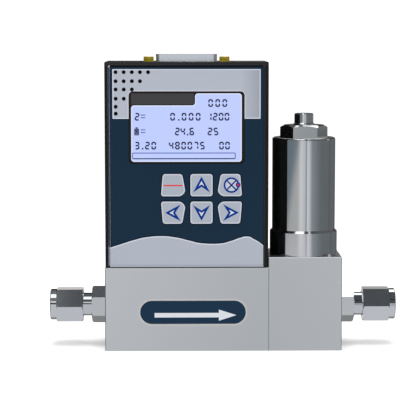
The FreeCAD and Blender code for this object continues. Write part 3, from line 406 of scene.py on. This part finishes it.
def print_bands(bm, inner, bands):
    """Colours a flat face in bands of (width, finish number) from its edge inwards, and gives them the
    ink's thickness. The last band fills the middle, and None leaves a hole there."""
    faces = []
    for width, number in bands[:-1]:
        rim = bmesh.ops.inset_region(bm, faces=[inner], thickness=width, use_boundary=True,
                                     use_even_offset=True)["faces"]
        for face in rim:
            face.material_index = number
        faces += rim
    if bands[-1][1] is None:
        bmesh.ops.delete(bm, geom=[inner], context="FACES_ONLY")
    else:
        inner.material_index = bands[-1][1]
        faces.append(inner)
    raised = bmesh.ops.extrude_face_region(bm, geom=faces)["geom"]
    front = [part for part in raised if isinstance(part, bmesh.types.BMVert)]
    bmesh.ops.translate(bm, vec=(0.0, -INK, 0.0), verts=front)
    # A tag marks what is printed, so that the next field's face can be told from it.
    for face in bm.faces:
        face.tag = True


def ink(bm, outline, y, bands, corner=0.0, segments=4):
    """Prints a field on a face at y, from an outline of (x, z) points whose corners are made round."""
    verts = [bm.verts.new((x, y, z)) for x, z in outline]
    inner = bm.faces.new(verts)
    inner.normal_update()
    if corner:
        bmesh.ops.bevel(bm, geom=verts, offset=corner, offset_type="OFFSET", affect="VERTICES",
                        segments=segments, profile=0.5, material=-1)
        inner = max((f for f in bm.faces if not f.tag), key=lambda f: f.calc_area())
    print_bands(bm, inner, bands)


def disc(bm, x, z, y, radius, bands, segments=24):
    """Prints a round field on a face at y."""
    place = Matrix.Translation((x, y, z)) @ Matrix.Rotation(math.radians(90.0), 4, "X")
    made = bmesh.ops.create_circle(bm, cap_ends=True, radius=radius, segments=segments, matrix=place)
    print_bands(bm, made["verts"][0].link_faces[0], bands)


def piece(name, bm, finishes):
    """Makes a piece of the object from a mesh in millimetres, with its place in its mesh."""
    bmesh.ops.recalc_face_normals(bm, faces=bm.faces)
    bmesh.ops.scale(bm, vec=(MM, MM, MM), verts=bm.verts)
    mesh = bpy.data.meshes.new(name)
    bm.to_mesh(mesh)
    bm.free()
    for finish in finishes:
        mesh.materials.append(finish.material)
    made = bpy.data.objects.new(name, mesh)
    bpy.context.scene.collection.objects.link(made)
    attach(made, ROOT)


def printed_ink(name, colour):
    """Screen ink under the film, a little uneven and with the film's soft gloss."""
    made = Finish(name, {"Specular IOR Level": 0.05})
    cloud = made.noise((1.0, 1.0, 1.0), 0.4)
    darker = tuple(0.92 * part for part in colour[:3]) + (1.0,)
    made.wire("Base Color", made.mix(cloud, darker, colour))
    made.wire("Roughness", 0.42 + 0.12 * cloud)
    return made


DOT_LEFT, DOT_TOP = -46.68, 121.9
DOT_PITCH = 3.51
DOT_RADIUS = 0.84
DOT_ROWS = ((5, 0.0), (4, 3.9), (3, 7.45), (2, 11.45), (1, 14.9), (1, 17.9))
black_ink = printed_ink("black_ink", paint(6, 7, 9))
dots = bmesh.new()
for count, drop in DOT_ROWS:
    for column in range(count):
        disc(dots, DOT_LEFT + DOT_PITCH * column, DOT_TOP - drop, film_front, DOT_RADIUS, [(0.0, 0)])
piece("overlay_dots", dots, [black_ink])

# The keys, and the symbols on them, are placed from the middle of the six snap domes.
dome_low, dome_high = millimetres("key_domes")
pad_x, pad_z = (dome_low.x + dome_high.x) / 2, (dome_low.z + dome_high.z) / 2
KEY_CORNER = 1.1
KEY_RIM = 0.45
KEY_SHADOW_WIDTH = 0.4
MIDDLE_KEY = [(-4.8, 1.17), (4.8, 1.17), (4.8, 10.83), (-4.8, 10.83)]
OUTER_KEY = [(8.85, 1.17), (17.6, 1.17), (16.8, 10.83), (8.4, 10.83), (7.0, 3.1)]
key_grey = printed_ink("key_grey", paint(165, 172, 184))
key_rim = printed_ink("key_rim", paint(198, 201, 211))
painted_key_shadow = printed_ink("painted_key_shadow", paint(6, 12, 20))


def grown(outline, margin):
    """An outline without hollows, with every side moved out by a margin."""
    corners = [Vector(point) for point in outline]
    moved = []
    for before, here, after in zip(corners[-1:] + corners, corners, corners[1:] + corners[:1]):
        along, back = (here - before).normalized(), (here - after).normalized()
        outwards = (along + back).normalized()
        moved.append(here + outwards * (margin / math.sin(along.angle(back) / 2)))
    return moved


keys = bmesh.new()
# Painted shadow: a dark ring round each key, on the film behind it.
key_shadow_mesh = bmesh.new()
for column in (-1, 0, 1):
    for row in (-1, 1):
        key = [(column * x, z) for x, z in OUTER_KEY] if column else MIDDLE_KEY
        outline = [(pad_x + x, pad_z + row * z) for x, z in key]
        ink(keys, outline, pad_y, [(KEY_RIM, 1), (0.0, 0)], KEY_CORNER)
        ink(key_shadow_mesh, grown(outline, KEY_SHADOW_WIDTH), film_front, [(0.0, 0)], KEY_CORNER + KEY_SHADOW_WIDTH)
piece("key_faces", keys, [key_grey, key_rim])
piece("painted_key_shadows", key_shadow_mesh, [painted_key_shadow])

SYMBOL_STROKE = 0.87
ARROW_UP = [(0.0, 9.7), (3.65, 2.85), (0.0, 5.3), (-3.65, 2.85)]
ARROW_DOWN = [(0.0, -9.5), (3.65, -2.75), (0.0, -5.1), (-3.65, -2.75)]
ARROW_LEFT = [(-15.8, -6.05), (-9.1, -2.45), (-11.45, -6.05), (-9.1, -9.65)]
ARROW_RIGHT = [(16.2, -6.0), (9.4, -2.4), (11.7, -6.0), (9.4, -9.6)]
DIAL = (13.0, 6.0, 3.38)
DIAL_STROKE = 0.75
CROSS_HALF = 0.3
DIAL_DOT = (15.9, 6.1, 1.05)
DOT_STROKE = 0.6
RULE_LEFT, RULE_RIGHT, RULE_Z, RULE_HALF = -16.5, -8.3, 5.84, 0.275
blue_ink = printed_ink("blue_ink", paint(0, 50, 134))
pale_ink = printed_ink("pale_ink", paint(205, 208, 216))
dial_ink = printed_ink("dial_ink", paint(188, 192, 202))
red_ink = printed_ink("red_ink", paint(222, 62, 62))
signal_ink = printed_ink("signal_ink", paint(228, 10, 16))
symbol_y = pad_y - INK
symbols = bmesh.new()
for arrow in (ARROW_UP, ARROW_DOWN, ARROW_LEFT, ARROW_RIGHT):
    ink(symbols, [(pad_x + x, pad_z + z) for x, z in arrow], symbol_y, [(SYMBOL_STROKE, 0), (0.0, 1)])
dial_x, dial_z, dial_r = pad_x + DIAL[0], pad_z + DIAL[1], DIAL[2]
disc(symbols, dial_x, dial_z, symbol_y, dial_r, [(DIAL_STROKE, 0), (0.0, 4)], 48)


def bar(bm, x0, x1, z0, z1, y, number, turn=0.0, corner=0.0):
    """Prints a straight bar, turned about its middle."""
    middle = Vector(((x0 + x1) / 2, (z0 + z1) / 2))
    corners = [Vector(point) - middle for point in ((x0, z0), (x1, z0), (x1, z1), (x0, z1))]
    ink(bm, [middle + Matrix.Rotation(turn, 2) @ point for point in corners], y, [(0.0, number)], corner)


for turn in (45, -45):
    bar(symbols, dial_x - dial_r + 0.25, dial_x + dial_r - 0.25, dial_z - CROSS_HALF, dial_z + CROSS_HALF,
        symbol_y - INK, 0, math.radians(turn))
disc(symbols, pad_x + DIAL_DOT[0], pad_z + DIAL_DOT[1], symbol_y - 2 * INK, DIAL_DOT[2],
     [(DOT_STROKE, 0), (0.0, 3)])
bar(symbols, pad_x + RULE_LEFT, pad_x + RULE_RIGHT, pad_z + RULE_Z - RULE_HALF, pad_z + RULE_Z + RULE_HALF,
    symbol_y, 2)
piece("key_symbols", symbols, [blue_ink, pale_ink, red_ink, signal_ink, dial_ink])


# Display
# A clear window with a dark printed border stands in the overlay, and the lit liquid crystal glass
# lies against its back. The readings are plain figures with a level bar under them.

BORDER = paint(30, 21, 12)
TAB = paint(58, 58, 61)
LCD_LEFT, LCD_RIGHT, LCD_FOOT, LCD_HEAD = -40.06, 7.79, 83.14, 112.73
TAB_RIGHT, TAB_FOOT = -12.4, 107.56
TAB_GAP_SIDE, TAB_GAP_FOOT = 0.5, 0.4
LCD_CORNER = 1.25
LCD_RIM = 0.42
border = Finish("window_border", {"Specular IOR Level": 0.2})
border_x, _, border_z = border.split(border.place())
in_tab = (border_x.between(LCD_LEFT, TAB_RIGHT - TAB_GAP_SIDE, 0.1)
          * border_z.between(TAB_FOOT + TAB_GAP_FOOT, LCD_HEAD, 0.1))
border.wire("Base Color", border.mix(in_tab, BORDER, TAB))
border.wire("Roughness", 0.2 + 0.08 * border.noise((1.0, 1.0, 1.0), 0.5))
dress(border, "display_window")


def lit(name, colour, share):
    """A part of the display that is lit from behind."""
    made = Finish(name, {"Emission Strength": share, "Specular IOR Level": 0.2, "Roughness": 0.3})
    cloud = made.noise((1.0, 1.0, 1.0), 0.08, 1.0)
    dimmer = tuple(0.96 * part for part in colour[:3]) + (1.0,)
    shown = made.mix(cloud, dimmer, colour)
    made.wire("Emission Color", shown)
    made.wire("Base Color", made.mix(share, shown, (0.0, 0.0, 0.0, 1.0)))
    return made


lcd_field = lit("lcd_field", paint(189, 203, 255), 0.5)
lcd_rim = lit("lcd_rim", paint(218, 228, 255), 0.5)
lcd_outline = [(LCD_LEFT, LCD_FOOT), (LCD_RIGHT, LCD_FOOT), (LCD_RIGHT, LCD_HEAD), (TAB_RIGHT, LCD_HEAD),
               (TAB_RIGHT, TAB_FOOT), (LCD_LEFT, TAB_FOOT)]
lcd_face = bmesh.new()
ink(lcd_face, lcd_outline, film_front, [(LCD_RIM, 1), (0.0, 0)], LCD_CORNER, 6)
piece("lcd_face", lcd_face, [lcd_field, lcd_rim])

figure_y = film_front - INK
dark_figure = printed_ink("dark_figure", paint(36, 36, 66))
violet_figure = printed_ink("violet_figure", paint(96, 104, 168))
grey_figure = printed_ink("grey_figure", paint(86, 90, 118))
LEVEL_LEFT, LEVEL_RIGHT, LEVEL_FOOT, LEVEL_HEAD = -39.7, 5.2, 84.3, 87.15
LEVEL_STROKE = 0.4
LEVEL_CORNER = 0.45
level_outline = [(LEVEL_LEFT, LEVEL_FOOT), (LEVEL_RIGHT, LEVEL_FOOT), (LEVEL_RIGHT, LEVEL_HEAD),
                 (LEVEL_LEFT, LEVEL_HEAD)]
marks = bmesh.new()
ink(marks, level_outline, figure_y, [(LEVEL_STROKE, 1), (0.0, None)], LEVEL_CORNER)
ROW_HEIGHTS = (106.9, 101.0, 94.6, 88.5)
EQUALS_LEFT, EQUALS_RIGHT, EQUALS_STROKE = -35.9, -33.9, 0.42
EQUALS_RISES = (1.05, 2.2)
for row in (1, 2):
    for rise in EQUALS_RISES:
        stroke_foot = ROW_HEIGHTS[row] + rise
        bar(marks, EQUALS_LEFT, EQUALS_RIGHT, stroke_foot, stroke_foot + EQUALS_STROKE, figure_y, 1)
CELL_LEFT, CELL_RIGHT, CELL_HEIGHT = -38.75, -36.65, 2.9
CAP_LEFT, CAP_RIGHT, CAP_FOOT, CAP_HEAD = -38.2, -37.2, 2.95, 3.5
cell_foot = ROW_HEIGHTS[2]
bar(marks, CELL_LEFT, CELL_RIGHT, cell_foot, cell_foot + CELL_HEIGHT, figure_y, 2, corner=0.2)
bar(marks, CAP_LEFT, CAP_RIGHT, cell_foot + CAP_FOOT, cell_foot + CAP_HEAD, figure_y, 0)

FIGURE_WIDTH, FIGURE_HEIGHT, STROKE = 2.05, 3.35, 0.6
CORNER_GAP = 0.6
POINT = 0.65
POINT_SHARE = 0.62
# Each reading is (figures, left side, row, pitch).
FIGURES = [("000", -6.7, 0, 3.05), ("2", -38.5, 1, 3.05), ("0.000", -23.15, 1, 3.05),
           ("1200", -7.3, 1, 2.55), ("24.6", -21.15, 2, 2.4), ("25", -7.0, 2, 2.6),
           ("3.20", -38.55, 3, 2.75), ("480075", -23.8, 3, 2.7), ("00", -2.0, 3, 2.6)]
LIT = {"0": "abcdef", "1": "bc", "2": "abdeg", "3": "abcdg", "4": "bcfg", "5": "acdfg", "6": "acdefg",
       "7": "abc", "8": "abcdefg", ".": "p"}


def figure(bm, mark, x, z):
    """Prints one figure from up to seven straight strokes, or a point."""
    middle, head = z + FIGURE_HEIGHT / 2, z + FIGURE_HEIGHT
    right = x + FIGURE_WIDTH
    half, gap = STROKE / 2, CORNER_GAP * STROKE
    strokes = {"a": (x + gap, right - gap, head - STROKE, head), "d": (x + gap, right - gap, z, z + STROKE),
               "g": (x + gap, right - gap, middle - half, middle + half),
               "b": (right - STROKE, right, middle + half, head - gap),
               "c": (right - STROKE, right, z + gap, middle - half),
               "e": (x, x + STROKE, z + gap, middle - half), "f": (x, x + STROKE, middle + half, head - gap),
               "p": (x + gap, x + gap + POINT, z, z + POINT)}
    for name in LIT[mark]:
        bar(bm, *strokes[name], figure_y, 0)


for text, x, row, pitch in FIGURES:
    for mark in text:
        figure(marks, mark, x, ROW_HEIGHTS[row])
        x += pitch * (POINT_SHARE if mark == "." else 1.0)
piece("lcd_marks", marks, [dark_figure, violet_figure, grey_figure])

glass = grained("display_glass", paint(120, 132, 150), 0.05, 0.1, (1.0, 1.0, 1.0), 1.0, 0.001, {})
backlight = grained("backlight", paint(232, 236, 240), 0.4, 0.5, (1.0, 1.0, 1.0), 1.0, 0.002, {})
dress(glass, "display_glass")
dress(backlight, "display_backlight")
dress(inner_steel, "display_frame")


# Circuit boards
# Two green boards with copper tracks under their solder mask, and black moulded chips, held apart
# by hexagonal spacers.

board = Finish("circuit_board", {"Specular IOR Level": 0.5})
board_place = board.place()
track = board.node("ShaderNodeTexVoronoi", {"distance": "CHEBYCHEV", "feature": "F1"},
                   {"Vector": board_place, "Scale": 0.35})
on_track = track.above(0.42, 0.04)
board.wire("Base Color", board.mix(on_track, paint(18, 78, 44), paint(44, 118, 62)))
board.wire("Roughness", 0.34 - 0.1 * on_track)
board.bump(on_track, 0.02)
dress(board, "display_board", "main_board")
moulded = grained("moulded_black", paint(30, 30, 32), 0.38, 0.5, (1.0, 1.0, 1.0), 3.0, 0.006,
                  {"Specular IOR Level": 0.4})
dress(moulded, "board_components")
dress(inner_steel, "board_spacers")
dress(screw_steel, "board_screws")


# Plug connector
# A 15-way plug stands in the housing's top: a drawn and tinned shell, a black moulded insulator,
# gilt pins, and two zinc-plated jackscrews with a yellow chromate finish.

tinned = grained("tinned_shell", paint(244, 246, 250), 0.16, 0.22, (0.2, 1.0, 1.0), 4.0, 0.0008,
                 {"Metallic": 0.9})
gilt = grained("contact_gold", paint(232, 190, 96), 0.14, 0.22, (1.0, 1.0, 1.0), 3.0, 0.002,
               {"Metallic": 1.0})
dress(tinned, "connector_shell")
dress(moulded, "connector_insulator")
dress(gilt, "connector_contacts")

chromate = Finish("yellow_chromate", {"Metallic": 0.6})
tint = chromate.noise((1.0, 1.0, 1.0), 0.45, 2.0)
chromate_tints = [(0.36, paint(192, 196, 50)), (0.5, paint(236, 208, 62)), (0.64, paint(244, 190, 84))]
chromate.wire("Base Color", chromate.node("ShaderNodeValToRGB", {"stops": chromate_tints}, [tint]))
chromate.wire("Roughness", 0.2 + 0.12 * tint)
chromate.bump(chromate.noise((1.0, 1.0, 0.2), 4.0), 0.004)
dress(chromate, "connector_jackscrews")


# Solenoid valve
# A turned base ring is screwed into the valve block, and a polished deep-drawn can covers the coil.
# A hexagon nut on the core's thread clamps the can, and the core's round end stands out of the nut.

polished = grained("polished_steel", paint(226, 227, 228), 0.05, 0.08, (1.0, 1.0, 0.02), 6.0, 0.0008,
                   {"Metallic": 1.0})
turned = grained("turned_steel", paint(230, 231, 233), 0.07, 0.12, (0.1, 0.1, 1.0), 9.0, 0.001,
                 {"Metallic": 1.0})
nut_steel = grained("nut_steel", paint(211, 211, 209), 0.06, 0.1, (1.0, 1.0, 1.0), 5.0, 0.002,
                    {"Metallic": 1.0})
magnet_iron = grained("magnet_iron", paint(150, 152, 156), 0.3, 0.42, (0.1, 0.1, 1.0), 6.0, 0.003,
                      {"Metallic": 1.0})
dress(polished, "coil_cover")
dress(turned, "valve_base", "fixed_core")
dress(nut_steel, "valve_nut")
dress(magnet_iron, "plunger")
dress(wound("coil_copper", 0.3), "coil_winding")
dress(moulded, "coil_bobbin")
dress(inner_steel, "guide_tube", "return_spring", "valve_seat")
dress(seal_rubber, "plunger_seal", "valve_base_seal")


# Flow direction plate
# A thin aluminium plate with round ends, glued in a shallow pocket. It is printed navy inside a bare
# rim, and a pale arrow points the way that the gas flows.

PLATE_RIM = 0.1
plate = Finish("flow_plate", {"Specular IOR Level": 0.15})
plate_x, _, plate_z = plate.split(plate.place())
past_rim = past_edge_of(plate_x, plate_z, plate_middle_x, plate_middle_z, plate_half_x, plate_half_z,
                        plate_half_z)
bare = past_rim.above(-PLATE_RIM, 0.06)
plate.wire("Base Color", plate.mix(bare, paint(15, 44, 68), paint(226, 223, 219)))
plate.wire("Roughness", 0.34 + 0.1 * plate.noise((1.0, 1.0, 1.0), 2.0))
dress(plate, "flow_plate")

ARROW = [(-30.2, 14.9), (-2.1, 14.9), (-2.1, 13.4), (5.6, 15.9), (-2.1, 18.35), (-2.1, 16.9), (-30.2, 16.9)]
arrow_ink = printed_ink("arrow_ink", paint(211, 215, 221))
arrow = bmesh.new()
ink(arrow, ARROW, plate_low.y, [(0.0, 0)])
piece("flow_arrow", arrow, [arrow_ink])


# Studio
# A white floor and a white surround, one large soft lamp over the front, and a camera a little
# above the meter. Polished metal sees a room of its own: bright screens between dark ones.

FLOOR_HALF = 0.55
FLOOR_GLOW = 0.24


def stage_floor():
    """A small white floor. The white surround shows behind it."""
    bm = bmesh.new()
    bmesh.ops.create_grid(bm, x_segments=1, y_segments=1, size=FLOOR_HALF)
    mesh = bpy.data.meshes.new("floor")
    bm.to_mesh(mesh)
    bm.free()
    white = Finish("floor_white", {"Roughness": 0.9, "Specular IOR Level": 0.0,
                                   "Emission Strength": FLOOR_GLOW, "Emission Color": (1.0, 1.0, 1.0, 1.0)})
    cloud = white.noise((1.0, 1.0, 1.0), 0.01)
    white.wire("Base Color", white.mix(cloud, (0.93, 0.93, 0.93, 1.0), (0.95, 0.95, 0.95, 1.0)))
    mesh.materials.append(white.material)
    floor = bpy.data.objects.new("floor", mesh)
    bpy.context.scene.collection.objects.link(floor)
    floor.visible_glossy = False


def grey(value, warmth=0.0):
    """A light of about one value, a little warmer or colder."""
    return (value * (1 + warmth), value, value * (1 - warmth), 1.0)


# The room as (degrees, light). AROUND and AROUND_TOP go round the meter: -180 is behind it, -90 on its
# left, 0 in front and 90 on its right. AROUND_TOP is what the hexagon nut and the core's end see.
AROUND = [(-180, grey(0.75, 0.04)), (-172, grey(0.75, 0.04)), (-168, grey(0.011)), (-71, grey(0.011)),
          (-68.5, grey(0.48)), (-27, grey(0.50, -0.01)), (-21.5, grey(0.58, -0.01)),
          (-14.5, grey(0.745, -0.01)), (-9, grey(0.735, -0.015)), (-5, (0.66, 0.675, 0.70, 1.0)),
          (2.5, (0.60, 0.63, 0.66, 1.0)), (4.2, (0.38, 0.41, 0.435, 1.0)), (8.2, (0.34, 0.36, 0.375, 1.0)),
          (9.8, grey(0.80)), (14, (0.72, 0.725, 0.745, 1.0)), (18, (0.60, 0.62, 0.65, 1.0)),
          (22, (0.47, 0.51, 0.545, 1.0)), (26, (0.32, 0.35, 0.38, 1.0)), (31, (0.26, 0.292, 0.32, 1.0)),
          (38, (0.25, 0.28, 0.30, 1.0)), (46, (0.21, 0.23, 0.248, 1.0)), (63, (0.158, 0.173, 0.184, 1.0)),
          (98, (0.152, 0.167, 0.178, 1.0)), (103, (0.13, 0.14, 0.147, 1.0)),
          (117, (0.147, 0.16, 0.17, 1.0)), (134, (0.148, 0.163, 0.173, 1.0)),
          (141, (0.12, 0.13, 0.138, 1.0)), (168, (0.12, 0.13, 0.138, 1.0)), (171, grey(0.5, 0.03)),
          (180, grey(0.5, 0.03))]
AROUND_TOP = [(-180, grey(0.012)), (-56, grey(0.016)), (-50, (0.21, 0.25, 0.29, 1.0)),
              (-40, (0.21, 0.25, 0.29, 1.0)), (-33, (0.147, 0.195, 0.22, 1.0)),
              (-26, (0.147, 0.195, 0.22, 1.0)), (-19, (0.38, 0.42, 0.46, 1.0)),
              (-12, (0.70, 0.73, 0.75, 1.0)), (-2, (0.70, 0.73, 0.75, 1.0)), (3, (0.50, 0.55, 0.61, 1.0)),
              (20, (0.42, 0.47, 0.53, 1.0)), (26, (0.13, 0.145, 0.165, 1.0)), (40, grey(0.16)),
              (88, grey(0.21)), (116, grey(0.19)), (119, grey(0.38)), (129, grey(0.38)), (132, grey(0.12)),
              (180, grey(0.12))]

# OVER_LEFT and OVER_RIGHT go over the meter, each on its own side: -90 is below it, 0 in front, 90
# above and 180 behind. They make the bands on the tube fittings.
OVER_LEFT = [(-180, grey(0.33)), (-112, grey(0.30)), (-105, (0.67, 0.68, 0.71, 1.0)),
             (7, (0.69, 0.70, 0.73, 1.0)), (8, grey(0.005)), (17, grey(0.005)), (18, grey(0.75)),
             (31, grey(0.80)), (33, (0.072, 0.082, 0.088, 1.0)), (56, (0.072, 0.082, 0.088, 1.0)),
             (58, grey(1.5)), (88, grey(1.5)), (90, (0.12, 0.13, 0.135, 1.0)),
             (137, (0.12, 0.13, 0.135, 1.0)), (139, grey(0.005)), (168, grey(0.005)),
             (171, grey(0.75, 0.04)), (180, grey(0.75, 0.04))]
OVER_RIGHT = [(-180, grey(0.30)), (-112, grey(0.30)), (-105, (0.70, 0.70, 0.73, 1.0)),
              (8, (0.70, 0.70, 0.73, 1.0)), (10, (0.075, 0.083, 0.09, 1.0)),
              (30, (0.095, 0.102, 0.107, 1.0)), (35, grey(0.03)), (41, grey(0.03)),
              (46, (0.095, 0.102, 0.107, 1.0)), (60, (0.075, 0.083, 0.09, 1.0)),
              (103, (0.075, 0.083, 0.09, 1.0)), (107, grey(1.9)), (134, grey(1.9)), (137, grey(0.005)),
              (168, grey(0.005)), (171, grey(0.5, 0.02)), (180, grey(0.5, 0.02))]

SLANT_COLOUR = (0.165, 0.214, 0.25, 1.0)
SLANT_TOP = -3.6
SLANT_RATE = 16.2
SLANT_EDGE = -19.5
SCREEN_LEFT, SCREEN_RIGHT = -69.5, 2.0
LOW_COLOUR = (0.68, 0.685, 0.70, 1.0)
LOW_RIGHT = 24.0
LOW_TOP = -7.8
AROUND_TOP_FOOT = -3.0
AROUND_FOOT, AROUND_HEAD = -22.0, 6.0
FAR_SIDE, FAR_RISE, FAR_LIGHT = 0.4, 0.3, 0.12
# The thin lights overhead are (place, half width, strength), and they touch the corners of the
# valve's nut.
SLITS = [(-0.13, 0.035, 1.0), (0.2, 0.03, 0.5)]
SLIT_RISE, SLIT_LIGHT = 0.5, 1.6
SURROUND_SEEN = 1.1
SURROUND_LIGHT = 0.70


def studio_room():
    """White to the camera, a plain light to matt surfaces, and the room of screens to polished ones."""
    world = bpy.data.worlds.new("studio")
    bpy.context.scene.world = world
    world.use_nodes = True
    world.cycles.sampling_method = "NONE"
    room = Nodes(world.node_tree)
    x, y, z = room.split(room.node("ShaderNodeTexCoord", None, None, output=0))
    around = x.math("ARCTAN2", -1.0 * y) / (2 * math.pi) + 0.5
    over = z.math("ARCTAN2", -1.0 * y) / (2 * math.pi) + 0.5
    azimuth = (around - 0.5) * 360.0
    level = z.math("ARCSINE") * (180 / math.pi)

    def by_angle(stops, angle):
        return room.node("ShaderNodeValToRGB", {"stops": [(a / 360 + 0.5, c) for a, c in stops]}, [angle])

    slant = azimuth - (level.math("MINIMUM", SLANT_TOP) - SLANT_TOP) * SLANT_RATE
    slant_screen = slant.below(SLANT_EDGE, 20.0) * azimuth.between(SCREEN_LEFT, SCREEN_RIGHT, 2.0)
    low_screen = azimuth.above(SCREEN_LEFT, 2.0) * azimuth.below(LOW_RIGHT, 4.0) * level.below(LOW_TOP, 0.6)
    walls = room.mix(slant_screen, by_angle(AROUND, around), SLANT_COLOUR)
    walls = room.mix(low_screen, walls, LOW_COLOUR)
    walls = room.mix(level.above(AROUND_TOP_FOOT, 0.5), walls, by_angle(AROUND_TOP, around))
    far_side = abs(x).above(FAR_SIDE, 0.2) * z.above(FAR_RISE, 0.2)
    slits = sum(strength * abs(x - place).below(half, 0.02) for place, half, strength in SLITS)
    arch = room.mix(x.above(0.02, 0.04), by_angle(OVER_LEFT, over), by_angle(OVER_RIGHT, over))
    arch = room.mix(far_side, arch, grey(FAR_LIGHT))
    arch = room.mix(slits * z.above(SLIT_RISE, 0.1), arch, grey(SLIT_LIGHT))
    near_level = level.below(AROUND_HEAD, 4.0) * level.above(AROUND_FOOT, 10.0)
    screens = room.mix(near_level, arch, walls)
    paths = room.node("ShaderNodeLightPath", None, None).socket.node.outputs
    plain = room.mix(Wire(room, paths["Is Camera Ray"]), grey(SURROUND_LIGHT), grey(SURROUND_SEEN))
    colour = room.mix(Wire(room, paths["Is Glossy Ray"]), plain, screens)
    output = next(n for n in world.node_tree.nodes if n.type == "OUTPUT_WORLD")
    background = room.node("ShaderNodeBackground", None, [colour, 1.0])
    world.node_tree.links.new(background.socket, output.inputs[0])


LAMP_PLACE = (0.0, -0.3, 1.2)
LAMP_SIZE = 0.6
LAMP_POWER = 9.0


def top_lamp():
    """A square soft lamp, aimed at the meter's foot."""
    lamp = bpy.data.lights.new("top_lamp", "AREA")
    lamp.size = LAMP_SIZE
    lamp.energy = LAMP_POWER
    held = bpy.data.objects.new("top_lamp", lamp)
    bpy.context.scene.collection.objects.link(held)
    held.location = LAMP_PLACE
    held.rotation_euler = (-Vector(LAMP_PLACE)).to_track_quat("-Z", "Y").to_euler()
    held.visible_glossy = False
    held.visible_camera = False


CAMERA_PLACE = (-17.48 * MM, -744.42 * MM, 138.81 * MM)
CAMERA_TILT = 83.998
CAMERA_TURN = -0.905
CAMERA_LENS = 144.57
SENSOR = 36.0


def photo_camera():
    camera = bpy.data.cameras.new("camera")
    camera.lens = CAMERA_LENS
    camera.sensor_width = SENSOR
    camera.clip_start = 0.01
    camera.clip_end = 50.0
    held = bpy.data.objects.new("camera", camera)
    bpy.context.scene.collection.objects.link(held)
    held.location = CAMERA_PLACE
    held.rotation_euler = (math.radians(CAMERA_TILT), 0.0, math.radians(CAMERA_TURN))
    bpy.context.scene.camera = held


stage_floor()
studio_room()
top_lamp()
photo_camera()
bpy.context.scene.view_settings.view_transform = "Standard"
